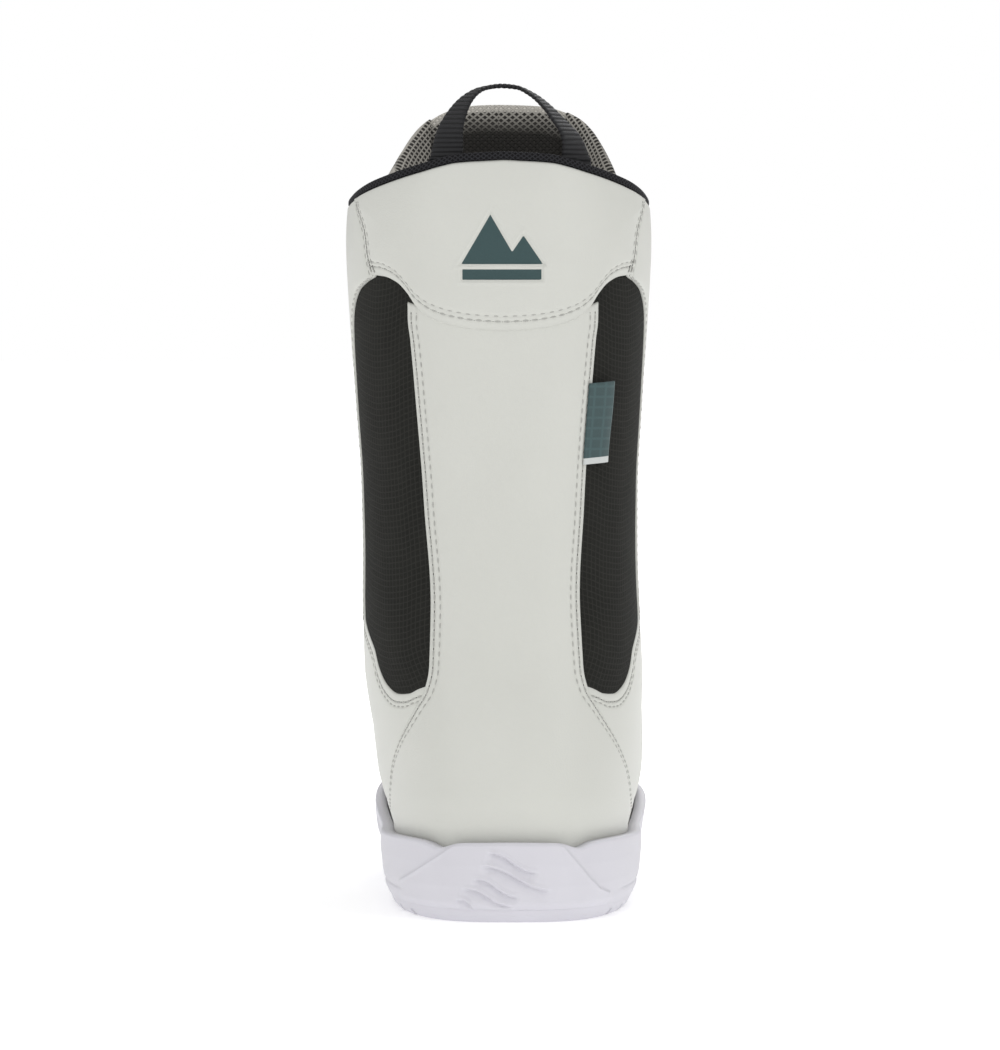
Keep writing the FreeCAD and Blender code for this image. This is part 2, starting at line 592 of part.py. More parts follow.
def linings():
    """The stiffeners behind the panels: below the ankle in two parts, above it in one."""
    inn = -(SKIN + LAYER_GAP)
    deep = inn - STIFFENER
    flat = PIVOT_Z - 0.5
    foot = PANEL_FOOT + 0.2
    counter = four_sided([(-93, foot), (0, foot), (93, foot)], [(93, foot), (93, flat)],
                         [(-93, flat), (0, flat), (93, flat)], [(-93, foot), (-93, flat)])
    edge = [(94, foot), (94, 60), (94, flat)]
    toe_top = [(94, flat), (120, flat), (140, flat - 1.0), (162, 101.5), (180, 100.0)]
    toe = four_sided([(94, foot), (180, foot), (266, foot)], beyond(edge),
                     toe_top + beyond(toe_top[:-1])[::-1], edge)
    low = [(0, up(106)), (50, up(106)), (90, up(109.5)), (118, up(117)), (throat(up(124)) - 2.5, up(124))]
    front = [(throat(up(z)) - 2.5, up(z)) for z in (124, 160, 200, 240, 264)]
    corner = throat(top_line(146)) - 2.5
    front.append((corner, top_line(corner) - 1.0))
    top = rim_points(0, front[-1][0], -1.0)
    cuff = four_sided(both_sides(low), front, both_sides(top), mirrored(front))
    return {"heel_counter": sheet(counter, inn, deep, 40, 32),
            "toe_stiffener": sheet(toe, inn, deep, 52, 36),
            "cuff_stiffener": sheet(cuff, inn, deep, 56, 26)}


def binding():
    """The knit edging that caps the collar from flap to flap."""
    end = 140.0
    tall = 3.2
    low = both_sides(rim_points(0, end, SEAM_GAP))
    high = both_sides(rim_points(0, end, SEAM_GAP + tall))
    edge = four_sided(low, [low[-1], high[-1]], high, [low[0], high[0]])
    return {"collar_binding": sheet(edge, 1.0, -(SKIN + LAYER_GAP + STIFFENER), 60, 3)}


# ---------------------------------------------------------------- liner
def liner_parts():
    out = -(SKIN + LAYER_GAP + STIFFENER + STRAP_ROOM)
    inn = out - LINER
    floor = POCKET_FLOOR + BOARD + LINER_SOLE + 1.0
    rear_top = PIVOT_Z - 1.5
    boot_front = [(149.5, floor), (149.5, 62), (149.5, rear_top)]
    boot = four_sided([(-149.5, floor), (0, floor), (149.5, floor)], boot_front,
                      [(-149.5, rear_top), (0, rear_top), (149.5, rear_top)], mirrored(boot_front))
    toe_edge = [(150, floor), (150, 50), (150, 75), (150, rear_top)]
    toe = four_sided([(150, floor), (180, floor), (210, floor)], beyond(toe_edge),
                     [(150, rear_top), (180, rear_top), (210, rear_top)], toe_edge)
    cuff_low = [(0, up(111)), (60, up(111)), (90, up(114)), (118, up(121)), (138, up(129))]
    cuff_top = [(a, liner_top(a)) for a in (0, 20, 40, 66, 90, 104, 113, 122, 130, 137, 142)]
    front = [cuff_low[-1], (140, up(180)), (142, up(240)), cuff_top[-1]]
    cuff = four_sided(both_sides(cuff_low), front, both_sides(cuff_top), mirrored(front))
    tongue_front = [(141.5, up(153)), (142.5, up(200)), (143.5, up(250)), (143.5, liner_top(143.5))]
    tongue_top = [(a, liner_top(a)) for a in (143.5, 149, 155, 166, 180)]
    tongue_top += beyond(tongue_top[:-1])[::-1]
    tongue = four_sided([(141.5, up(153)), (180, up(153)), (218.5, up(153))],
                        beyond(tongue_front), tongue_top, tongue_front)
    joint = rear_top + SEAM_GAP
    flex_low = [(0, joint), (60, joint), (90, joint), (118, joint), (138, joint)]
    flex_top = [(a, z - 2 * SEAM_GAP) for a, z in cuff_low]
    flex = four_sided(both_sides(flex_low), [flex_low[-1], flex_top[-1]], both_sides(flex_top),
                      [(-138, joint), (-138, flex_top[-1][1])])
    instep_edge = [(142.5, joint), (142.5, up(128)), (142.5, up(152))]
    instep_far = beyond(instep_edge)
    instep = four_sided([instep_edge[0], (180, joint), instep_far[0]], instep_far,
                        [instep_edge[-1], (180, up(152)), instep_far[-1]], instep_edge)
    return {"liner_boot": sheet(boot, out, inn, 56, 20), "liner_toe": sheet(toe, out, inn, 16, 26),
            "liner_cuff": sheet(cuff, out, inn, 52, 26), "liner_tongue": sheet(tongue, out, inn, 20, 26),
            "liner_flex_panel": sheet(flex, out, inn, 52, 8),
            "liner_instep_panel": sheet(instep, out, inn, 18, 14)}


def liner_top(phi):
    return LINER_TOP_LINE(abs(phi)) + SHAFT_RISE


LINER_TOP_LINE = eased([(0, 288.0), (40, 283.5), (66, 278.5), (90, 276.5), (104, 279.0),
                        (113, 283.5), (122, 290.5),
                        (130, 299.0), (137, 305.8), (145, 310.5), (155, 313.6), (166, 315.2), (180, 315.6)])


# ---------------------------------------------------------------- tongue
def tongue_sheet(z_low, z_high, out, inn, inset, rise, top_round=0.0):
    """A piece of the shell's tongue between two heights; its top edge may be domed."""
    steps = 6
    right = []
    for k in range(steps + 1):
        z = z_low + (z_high - z_low) * k / steps
        right.append((throat(z, inset), z))
    high = right[-1]
    lid = [(high[0], high[1])]
    for share in (0.35, 0.7):
        lid.append((high[0] + (180 - high[0]) * share, high[1] + top_round * math.sin(share * math.pi / 2)))
    lid.append((180, high[1] + top_round))
    lid += beyond(lid[:-1])[::-1]
    low = [(right[0][0], z_low), (180, z_low), (360 - right[0][0], z_low)]
    place = four_sided(low, beyond(right), lid, right)
    return sheet(place, out, inn, 18, rise)


def gusset(side):
    """Snow-proof fabric that joins the flap to the tongue, behind both."""
    out = -(SKIN + LAYER_GAP)
    heights = (108, 130, 160, 200, 240, 262)
    outer_edge = [(side * (throat(up(z)) - 1.6), up(z)) for z in heights]
    inner_edge = [(side * (throat(up(z), TONGUE_GAP) + 6.0), up(z)) for z in heights]
    low = [outer_edge[0], inner_edge[0]]
    high = [outer_edge[-1], inner_edge[-1]]
    place = four_sided(low, inner_edge, high, outer_edge)
    return sheet(place, out, out - 0.8, 5, 22)


def tongue_parts():
    out = TONGUE_PROUD
    inn = -SKIN
    foot = up(TONGUE_FOOT)
    return {"tongue_base": tongue_sheet(102.5, up(130), out - 0.6, inn, TONGUE_GAP + 1.0, 8),
            "tongue_flex_zone": tongue_sheet(up(130.5), foot - 0.5, out - 0.3, inn, TONGUE_GAP, 6),
            "shell_tongue": tongue_sheet(foot, up(288), out, inn, TONGUE_GAP, 30, TONGUE_TOP - 288),
            "gusset_left": gusset(-1), "gusset_right": gusset(1)}


# ---------------------------------------------------------------- dial
def dial_frame():
    """A placement whose +Z is the dial's axis, out from the tongue, with its origin on the tongue."""
    seat = body_point(180.0, up(DIAL_Z), TONGUE_PROUD)
    spin = FreeCAD.Rotation(FreeCAD.Vector(1, 0, 0), -90.0 - DIAL_TILT)
    return FreeCAD.Placement(seat, spin)


def tube(r_out, r_in, low, high):
    solid = Part.makeCylinder(r_out, high - low, FreeCAD.Vector(0, 0, low))
    if r_in > 0:
        solid = solid.cut(Part.makeCylinder(r_in, high - low + 2, FreeCAD.Vector(0, 0, low - 1)))
    return solid


def toothed_ring():
    """The ratchet that the carrier's pawls click into."""
    out_r = DIAL_CUP_R - DIAL_WALL - 0.05
    ring = tube(out_r, out_r - 1.6, 8.7, DIAL_CUP_TOP - 0.1)
    teeth = 30
    cuts = []
    for k in range(teeth):
        notch = Part.makeCylinder(0.5, 3, FreeCAD.Vector(out_r - 1.6, 0, 8))
        notch.rotate(FreeCAD.Vector(0, 0, 0), FreeCAD.Vector(0, 0, 1), 360.0 * k / teeth)
        cuts.append(notch)
    return ring.cut(Part.makeCompound(cuts))


def dial_parts():
    place = dial_frame()
    flange = tube(DIAL_FLANGE_R, 0, -9.0, 2.2)
    cup = tube(DIAL_CUP_R, DIAL_CUP_R - DIAL_WALL, 2.2, DIAL_CUP_TOP)
    floor = tube(DIAL_CUP_R, 0, 2.2, DIAL_FLOOR)
    base = flange.fuse([cup, floor, tube(POST_R, 0, 1.0, POST_TOP)])
    for side in (-1, 1):
        port = Part.makeCylinder(LACE_R + 0.35, 40, FreeCAD.Vector(0, 0, 0), FreeCAD.Vector(0, 1, 0))
        port.translate(FreeCAD.Vector(0, SPOOL_R, PORT_LEVEL))
        port.rotate(FreeCAD.Vector(0, 0, PORT_LEVEL), FreeCAD.Vector(0, 0, 1), side * PORT_ANGLE)
        base = base.cut(port)
    base.Placement = place
    under = tongue_sheet(up(DIAL_Z) - 30, up(DIAL_Z) + 30, TONGUE_PROUD + 0.1, -16.0, -12.0, 14)
    base = base.cut(under)
    base = max(base.Solids, key=lambda s: s.Volume)

    spool = tube(SPOOL_R, POST_R + RUNNING, SPOOL_LOW, SPOOL_HIGH)
    spool = spool.cut(tube(SPOOL_R + 1, SPOOL_CORE_R, SPOOL_LOW + 0.8, SPOOL_HIGH - 0.8))
    plate = tube(PLATE_R, POST_R + RUNNING, PLATE_LOW, PLATE_HIGH)
    knob_roof = KNOB_TOP - 3.0
    knob = tube(KNOB_R, 0, 7.2, KNOB_TOP).cut(tube(DIAL_CUP_R + KNOB_CLEAR, 0, 6.0, knob_roof))
    for k in range(3):
        pin_at = FreeCAD.Vector(5.4, 0, SPOOL_HIGH - 1.6)
        pin = Part.makeCylinder(1.0, PLATE_LOW + 0.5 - pin_at.z, pin_at)
        hole = Part.makeCylinder(1.0 + 0.15, 3.0, pin_at - FreeCAD.Vector(0, 0, 0.3))
        slot = box(6.9, PLATE_R - 1.6, -1.2, 1.2, 8, 12)
        peg = box(7.05, PLATE_R - 1.75, -1.05, 1.05, PLATE_LOW + 0.1, knob_roof + 0.5)
        for piece in (pin, hole, slot, peg):
            piece.rotate(FreeCAD.Vector(0, 0, 0), FreeCAD.Vector(0, 0, 1), 120.0 * k)
        pin.rotate(FreeCAD.Vector(0, 0, 0), FreeCAD.Vector(0, 0, 1), 60.0)
        hole.rotate(FreeCAD.Vector(0, 0, 0), FreeCAD.Vector(0, 0, 1), 60.0)
        plate = plate.fuse(pin).cut(slot)
        spool = spool.cut(hole)
        knob = knob.fuse(peg)
    clip = tube(POST_R + 1.3, POST_R + 0.02, PLATE_HIGH + 0.3, PLATE_HIGH + 1.2)
    rim = [e for e in knob.Edges if e.BoundBox.ZMin > KNOB_TOP - 0.01]
    knob = knob.makeFillet(1.6, rim)
    grip_low, grip_high = 7.6, KNOB_TOP - 2.4
    grip = tube(KNOB_R + GRIP, KNOB_R + 0.02, grip_low, grip_high)
    grooved = []
    for k in range(GRIP_RIBS):
        notch = Part.makeCylinder(0.9, 20, FreeCAD.Vector(KNOB_R + GRIP + 0.25, 0, 0))
        notch.rotate(FreeCAD.Vector(0, 0, 0), FreeCAD.Vector(0, 0, 1), 360.0 * (k + 0.5) / GRIP_RIBS)
        grooved.append(notch)
    grip = grip.cut(Part.makeCompound(grooved))
    found = {"dial_spool": spool, "dial_drive_plate": plate, "dial_ratchet_ring": toothed_ring(),
             "dial_retaining_clip": clip, "dial_knob": knob, "dial_grip_ring": grip}
    for solid in found.values():
        solid.Placement = place
    found["dial_housing"] = base
    return found


# ---------------------------------------------------------------- lace
def round_path(points, first=None, last=None):
    """A wire of straight runs joined by tangent arcs, each as large as its two runs allow. A run is
    numbered by the point it starts from. With first and last given, the wire holds only the stretch
    from the middle of the one run to the middle of the other."""
    start = points[0] if first is None else (points[first] + points[first + 1]) * 0.5
    end = points[-1] if last is None else (points[last] + points[last + 1]) * 0.5
    corners = range(1 if first is None else first + 1, len(points) - 1 if last is None else last + 1)
    edges = []
    for k in corners:
        into, away = points[k] - points[k - 1], points[k + 1] - points[k]
        cut = ARC_SHARE * min(into.Length, away.Length)
        turn = into.getAngle(away)
        if turn < 0.02:
            continue
        a = points[k] - into.normalize() * cut
        b = points[k] + away.normalize() * cut
        inward = (a + b) * 0.5 - points[k]
        middle = points[k] + inward.normalize() * apex_distance(cut, turn)
        edges.append(Part.LineSegment(start, a).toShape())
        edges.append(Part.Arc(a, middle, b).toShape())
        start = b
    edges.append(Part.LineSegment(start, end).toShape())
    return Part.Wire(edges)


def apex_distance(cut, turn):
    """From a corner to the middle of the arc that rounds it, where the arc begins cut away."""
    radius = cut / math.tan(turn / 2)
    return radius / math.cos(turn / 2) - radius


def cable(points, radius, first=None, last=None):
    path = round_path(points, first, last)
    start = path.Edges[0]
    begin = start.FirstParameter
    circle = Part.Wire(Part.makeCircle(radius, start.valueAt(begin), start.tangentAt(begin)))
    return path.makePipeShell([circle], True, True)


def lace_point(x, z, lift):
    """A point over the front of the boot, x to the right of the centre line, lifted off its face."""
    side = 1 if x >= 0 else -1
    phi = side * angle_at(abs(x), z, front=True) if abs(x) > 0.5 else 180.0
    return body_point(phi, z, lift)


def guide_turn(side, z):
    """The five corners of the lace in one guide: in from above, round, and out below."""
    edge = throat_half(pattern_height(z))
    far = edge + GUIDE_SETBACK
    near = edge + 1.5
    h = GUIDE_TURN
    return [lace_point(side * near, z + h * 1.15, LACE_LIFT),
            lace_point(side * (far - 2.2), z + h, LACE_LIFT),
            lace_point(side * far, z, LACE_LIFT), lace_point(side * (far - 2.2), z - h, LACE_LIFT),
            lace_point(side * near, z - h * 1.15, LACE_LIFT)]


def crossing(side, z_from, z_to):
    """The two points that carry the lace over the tongue, from a guide to the next one down."""
    lift = LACE_LIFT + CROSSING_RISE + (LACE_PASS if side > 0 else -LACE_PASS)
    start = guide_turn(side, z_from)[-1]
    end = guide_turn(-side, z_to)[0]
    middle, step = (start.z + end.z) / 2, (start.z - end.z) * 0.2
    return [lace_point(side * 9.0, middle + step, lift), lace_point(-side * 9.0, middle - step, lift)]


def lace_route(hand):
    """One half of the lace, from the spool to the middle of its lowest crossing. It starts down the
    side named by hand, 1 for the right, and changes sides after each guide."""
    place = dial_frame()
    angle = math.radians(hand * PORT_ANGLE)
    port_way = FreeCAD.Vector(math.sin(angle), math.cos(angle), 0)
    lace_level = FreeCAD.Vector(0, 0, PORT_LEVEL)
    route = [place.multVec(port_way * r + lace_level) for r in (SPOOL_R + 1.0, DIAL_CUP_R + 2.5)]
    heights = [up(z) for z in GUIDE_LEVELS]
    for k, z in enumerate(heights):
        side = hand * (-1) ** k
        route += guide_turn(side, z)
        if k + 1 < len(heights):
            route += crossing(side, z, heights[k + 1])
    side = hand * (-1) ** (len(heights) - 1)
    low = route[-1].z
    end = low - 0.8
    return route + [lace_point(side * 7.0, end, LACE_LIFT), lace_point(side * 0.01, end, LACE_LIFT)]


FIRST_GUIDE, GUIDE_STEP = 2, 7     # the route's points at the first guide, and from one guide to the next
# the run inside the second guide where the middle part begins
MIDDLE_FROM = FIRST_GUIDE + GUIDE_STEP + 2
LOWER_FROM = FIRST_GUIDE + 2 * GUIDE_STEP + 1   # the run inside the third guide where the lower part begins


def lace_parts():
    routes = [lace_route(hand) for hand in (-1, 1)]
    spans = {"lace_upper": (None, MIDDLE_FROM), "lace_middle": (MIDDLE_FROM, LOWER_FROM),
             "lace_lower": (LOWER_FROM, None)}
    return {name: [cable(r, LACE_R, *span) for r in routes] for name, span in spans.items()}


def guide_parts():
    """Moulded tubes that turn the lace, each on a foot that is stitched down."""
    parts = {}
    names = ("upper", "middle", "instep", "vamp")
    for hand in (-1, 1):
        route = lace_route(hand)
        for k, name in enumerate(names):
            side, z = hand * (-1) ** k, up(GUIDE_LEVELS[k])
            edge = throat_half(pattern_height(z))
            tall = GUIDE_TURN + 3.4
            heights = (z - tall, z, z + tall)
            near = [(side * angle_at(edge + 0.6, h, front=True), h) for h in heights]
            far = [(side * angle_at(edge + GUIDE_SETBACK + 3.2, h, front=True), h) for h in heights]
            place = four_sided([far[0], near[0]], near, [far[-1], near[-1]], far)
            foot = sheet(place, GUIDE_FOOT_TOP, GUIDE_CLEAR, 4, 6)
            first = FIRST_GUIDE + GUIDE_STEP * k
            body = cable(route[first:first + 5], GUIDE_R).fuse(foot)
            bore = cable(route, GUIDE_BORE_R, first - 1, first + 4)
            parts["lace_guide_%s_%s" % (name, "right" if side > 0 else "left")] = body.cut(bore)
    return parts


# ---------------------------------------------------------------- loop and label
def loop_leg(side, z):
    """Where the middle of the webbing stands inside the collar, and the directions along and out of it."""
    x = LOOP_SHIFT + side * LOOP_HALF_SPAN
    phi = (1 if x >= 0 else -1) * angle_at(abs(x), z)
    out = -(SKIN + LAYER_GAP + STIFFENER + STRAP_ROOM / 2)
    at = body_point(phi, z, out)
    along = body_point(phi + 2, z, out) - body_point(phi - 2, z, out)
    along.normalize()
    return phi, at, along


def loop_anchor(side):
    z0, z1 = up(262.0), LOOP_HINGE_Z + SHAFT_RISE - LOOP_SWING_ROOM
    phi, at, along = loop_leg(side, z1)
    spread = math.degrees(LOOP_WIDTH / 2 / COLLAR_RADIUS)
    middle = -(SKIN + LAYER_GAP + STIFFENER + STRAP_ROOM / 2)
    low = [(phi - spread, z0), (phi, z0), (phi + spread, z0)]
    top = [(phi - spread, z1), (phi, z1), (phi + spread, z1)]
    place = four_sided(low, [low[-1], top[-1]], top, [low[0], top[0]])
    return sheet(place, middle + LOOP_THICK / 2, middle - LOOP_THICK / 2, 6, 8)


def pull_loop():
    """Webbing that arches over the opening: along the collar at its ends, crosswise on top."""
    z0 = LOOP_HINGE_Z + SHAFT_RISE
    left, right = loop_leg(-1, z0)[1], loop_leg(1, z0)[1]
    middle = (left + right) * 0.5
    half = (right.x - left.x) / 2
    way = chord_curve([(half * share, rise) for share, rise in LOOP_ARCH])
    turn = eased(LOOP_TURN)
    steps = 26
    outer, inner = [], []
    for k in range(steps + 1):
        t = k / steps
        x, rise = way(t)
        x1, rise1 = way(min(1.0, t + 0.004))
        x0, rise0 = way(max(0.0, t - 0.004))
        y = left.y + (right.y - left.y) * t + LOOP_FORWARD * math.sin(math.pi * t)
        at = FreeCAD.Vector(middle.x + x, y, z0 + rise)
        along = FreeCAD.Vector(-math.cos(math.radians(turn(t))), math.sin(math.radians(turn(t))), 0)
        normal = FreeCAD.Vector(x1 - x0, 0, rise1 - rise0).cross(along)
        normal.normalize()
        thick = normal * (LOOP_THICK / 2)
        across = [at + along * (LOOP_WIDTH / 2 * share) for share in (-1, -0.5, 0, 0.5, 1)]
        outer.append([p - thick for p in across])
        inner.append([p + thick for p in across])
    return slab(outer, inner)


def side_label():
    low, high = up(LABEL_LOW), up(LABEL_HIGH)
    heights = [low + (high - low) * k / 4 for k in range(5)]
    edge = chord_curve(SPINE_EDGE)
    seam = []
    for z in heights:
        s = min((abs(edge(k / 400)[1] - z), k / 400) for k in range(401))[1]
        seam.append((edge(s)[0] + 0.6, z))
    spread = math.degrees(LABEL_WIDTH / 57.0)
    free = [(a + spread, z) for a, z in seam]
    place = four_sided([seam[0], free[0]], free, [seam[-1], free[-1]], seam)
    return sheet(place, 0.3 + LABEL_THICK, 0.3, 5, 8)


def main():
    os.makedirs("parts", exist_ok=True)
    for old in os.listdir("parts"):
        os.remove(os.path.join("parts", old))
    parts = {}
    for made in (sole_parts(), inner_soles(), upper_parts(), linings(), binding(), liner_parts(),
                 tongue_parts(), dial_parts(), guide_parts(), lace_parts()):
        parts.update(made)
    parts["pull_loop"] = pull_loop()
    parts["loop_anchor_left"] = loop_anchor(-1)
    parts["loop_anchor_right"] = loop_anchor(1)
    parts["side_label"] = side_label()
    for name, shape in sorted(parts.items()):
        solids = []
        for piece in (shape if isinstance(shape, list) else [shape]):
            solids += piece.Solids
        if not solids or not all(s.isValid() for s in solids):
            print("PROBLEM", name, len(solids), [s.isValid() for s in solids])
        joined = Part.makeCompound(solids) if len(solids) > 1 else solids[0]
        print("%-26s %d solid(s) %9.0f mm3" % (name, len(solids), sum(s.Volume for s in solids)))
        joined.exportStep("parts/%s.step" % name)


main()
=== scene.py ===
"""The snowboard boot's finished surfaces: leather panels and their stitches, ripstop sides, knit edging,
padded mesh liner, webbing loop, sculpted sole and lace, laid out as an add-on and run as a script.

The upper is one smooth body. A point on it is named by an angle phi round the leg, 0 at the back seam,
90 at the wearer's right and 180 at the front, by a height z, and by a distance out from the body.
Shapes are worked out in millimetres and become metres where they go into a mesh."""

import math

import bmesh
import bpy
import numpy as np
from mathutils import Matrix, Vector


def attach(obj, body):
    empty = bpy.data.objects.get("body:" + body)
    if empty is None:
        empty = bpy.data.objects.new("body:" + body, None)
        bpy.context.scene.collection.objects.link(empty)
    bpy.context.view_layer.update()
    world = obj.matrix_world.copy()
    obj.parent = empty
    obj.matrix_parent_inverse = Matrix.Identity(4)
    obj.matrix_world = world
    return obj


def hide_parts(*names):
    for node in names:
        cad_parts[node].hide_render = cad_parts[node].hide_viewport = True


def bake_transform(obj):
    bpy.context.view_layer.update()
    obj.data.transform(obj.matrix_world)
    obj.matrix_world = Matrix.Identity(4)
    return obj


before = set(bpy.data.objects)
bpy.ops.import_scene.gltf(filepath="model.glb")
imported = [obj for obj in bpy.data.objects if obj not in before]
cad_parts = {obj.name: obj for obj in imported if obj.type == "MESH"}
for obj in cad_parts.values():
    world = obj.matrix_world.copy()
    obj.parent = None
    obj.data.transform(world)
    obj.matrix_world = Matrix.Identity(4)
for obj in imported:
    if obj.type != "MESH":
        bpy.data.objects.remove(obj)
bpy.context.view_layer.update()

bl_info = {
    "name": "Snowboard boot",
    "version": (1, 0, 0),
    "blender": (4, 5, 0),
    "location": "3D View > Sidebar > Boot",
    "description": "Builds the finished surfaces of a snowboard boot round its CAD frame",
    "category": "Object",
}

MM = 0.001
BACK = 50.0                # from the back of the heel to the origin
FURROW = 0.3               # depth of the furrow under a row of stitches
STITCH_WIDTH = 0.66
STITCH_LIFT = 0.1          # the stitches' middle stands this far off the furrow's ground
PUFF_REACH = 9.0           # a panel has swelled most of its fullness this far from its edge
COLLAR_OUT = 0.5           # the collar panel stands this far out from the body
BOARD_OUT, BOARD_THICK = -2.15, 2.0
TEXTILE_OUT, GUSSET_OUT = -0.95, -2.2
CLOTH = 0.6                # thickness of the side panels' and gussets' cloth


# ---------------------------------------------------------------- curves
def eased(knots):
    """A smooth curve through (place, value) knots: on each span the cubic with slopes that are the
    harmonic mean of the two chords' slopes, or none at a peak, and the end values outside."""
    xs, ys = np.array(knots, float).T
    steps = np.diff(ys) / np.diff(xs)
    product = steps[:-1] * steps[1:]
    total = steps[:-1] + steps[1:]
    inner = np.where(product > 0, 2 * product / np.where(total == 0, 1, total), 0.0)
    slopes = np.concatenate([steps[:1], inner, steps[-1:]])

    def value(x):
        x = np.clip(np.asarray(x, float), xs[0], xs[-1])
        i = np.clip(np.searchsorted(xs, x, side="right") - 1, 0, len(xs) - 2)
        h = xs[i + 1] - xs[i]
        t = (x - xs[i]) / h
        return ((1 + 2 * t) * (1 - t) ** 2 * ys[i] + t * (1 - t) ** 2 * h * slopes[i]
                + t * t * (3 - 2 * t) * ys[i + 1] + t * t * (t - 1) * h * slopes[i + 1])

    return value


def smooth_step(x):
    x = np.clip(x, 0.0, 1.0)
    return x * x * (3 - 2 * x)


half_width = eased([(22, 48.8), (31, 49.8), (38, 52.0), (48, 53.8), (62, 54.6), (82, 55.0),
                    (105, 54.8), (140, 54.0), (165, 54.4), (195, 56.2), (235, 58.6),
                    (262, 59.8), (285, 59.2), (322, 58.0)])
heel_line = eased([(22, 4.4), (31, 3.4), (38, 1.4), (48, 0.0), (65, 1.0), (85, 4.0), (105, 8.0), (135, 13.0),
                   (170, 17.0), (210, 19.5), (250, 20.5), (285, 20.0), (322, 20.0)])
toe_line = eased([(22, 264.0), (31, 267.0), (40, 268.8), (46, 268.6), (51, 265.5), (57, 258.0), (62, 249.0),
                  (67, 238.0), (72, 225.5), (78, 212.0), (86, 199.5), (96, 189.0), (108, 180.5), (122, 173.5),
                  (140, 168.5), (160, 165.5), (190, 165.0), (230, 168.0), (270, 172.5), (322, 179.0)])
widest_line = eased([(22, 182.0), (50, 174.0), (70, 150.0), (90, 118.0), (110, 99.0), (135, 92.0),
                     (170, 92.0), (322, 100.0)])
back_fullness = eased([(22, 3.1), (60, 3.0), (100, 2.7), (150, 2.5), (322, 2.4)])
front_fullness = eased([(22, 2.5), (50, 2.4), (80, 2.1), (120, 2.2), (160, 2.4), (322, 2.5)])
front_taper = eased([(22, 0.06), (50, 0.10), (72, 0.22), (96, 0.32), (125, 0.25), (160, 0.16), (322, 0.12)])
centre_line = eased([(22, 0.0), (50, -0.6), (90, -3.0), (130, -4.3), (250, -5.0), (322, -5.0)])
throat_half = eased([(84, 13.0), (100, 18.5), (130, 24.5), (200, 29.0), (285, 33.0)])
seam_turn = eased([(60, 0.0), (130, 2.0), (322, 2.0)])
collar_top = eased([(0, 290.8), (17, 289.8), (30, 286.5), (48, 281.2), (66, 276.3), (80, 273.6), (95, 272.5),
                    (110, 273.5), (128, 276.5), (150, 279.5)])
liner_top = eased([(0, 288.0), (40, 283.5), (66, 278.5), (90, 276.5), (104, 279.0), (113, 283.5),
                   (122, 290.5), (130, 299.0), (137, 305.8), (145, 310.5), (155, 313.6),
                    (166, 315.2), (180, 315.6)])


def outline(phi, z, turned=True):
    """x = W r sin(phi), y = widest -+ reach r cos(phi), with r = (|sin|^n + |cos|^n)^(-1/n), drawn in
    towards the front by the taper, pinched at the arch and swung inwards at the toe. Angles are first
    turned by the seam's turn times (1 + cos(phi)) / 2."""
    phi, z = np.broadcast_arrays(np.asarray(phi, float), np.asarray(z, float))
    if turned:
        phi = phi + seam_turn(z) * (1 + np.cos(np.radians(phi))) / 2
    s, c = np.sin(np.radians(phi)), np.cos(np.radians(phi))
    behind = c > 0
    n = np.where(behind, back_fullness(z), front_fullness(z))
    r = (np.abs(s) ** n + np.abs(c) ** n) ** (-1.0 / n)
    widest = widest_line(z)
    reach = np.where(behind, widest - heel_line(z), toe_line(z) - widest)
    y = widest - reach * r * c
    b = np.where(behind, 0.0, -r * c)
    x = half_width(z) * r * s * (1 - front_taper(z) * b * b * (3 - 2 * b))
    low = np.clip((90.0 - z) / 50.0, 0, 1)
    x = x * (1 - 0.05 * low * np.exp(-((y - 112.0) / 36.0) ** 2))
    swing = np.maximum(0.0, (y - 180.0) / 90.0)
    return x - 7.0 * swing * swing + centre_line(z), y - BACK


def body(phi, z, out=0.0):
    """The body's surface moved out along its normal, the cross product of its two tangents."""
    x, y = outline(phi, z)
    x1, y1 = outline(phi + 0.5, z)
    x0, y0 = outline(phi - 0.5, z)
    xu, yu = outline(phi, z + 0.5)
    xd, yd = outline(phi, z - 0.5)
    round_it = np.stack([x1 - x0, y1 - y0, np.zeros_like(x)], -1)
    up_it = np.stack([xu - xd, yu - yd, np.ones_like(x)], -1)
    normal = np.cross(round_it, up_it)
    normal /= np.linalg.norm(normal, axis=-1, keepdims=True)
    z = np.broadcast_to(z, x.shape)
    return np.stack([x, y, z], -1) + normal * np.broadcast_to(out, x.shape)[..., None]


def angle_at(x, z, front=False):
    """The angle whose surface stands x to the right of the centre line at a height, by halving."""
    x, z = np.broadcast_arrays(np.asarray(x, float), np.asarray(z, float))
    low = np.full(x.shape, 90.0 if front else 0.0)
    high = np.full(x.shape, 180.0 if front else 90.0)
    for _ in range(34):
        phi = (low + high) / 2
        up = ((outline(phi, z, False)[0] - centre_line(z)) > x) == front
        low, high = np.where(up, phi, low), np.where(up, high, phi)
    return (low + high) / 2


def rear(x, z):
    return float(angle_at(x, z)), z


def throat(z, inset=0.0):
    return float(angle_at(throat_half(z) - inset, z, front=True))


def rim_points(start, end, lift=0.0):
    """Points along the collar's edge, close enough to carry its shape."""
    count = max(2, int((end - start) / 6.0))
    angles = [start + (end - start) * k / count for k in range(count + 1)]
    return [(a, float(collar_top(abs(a))) + lift) for a in angles]


def mirrored(points):
    return [(-a, z) for a, z in points]


def both_sides(points):
    return mirrored(points)[::-1] + points[1:]


def shifted(points, turn, lift=0.0):
    return [(a + turn, z + lift) for a, z in points]


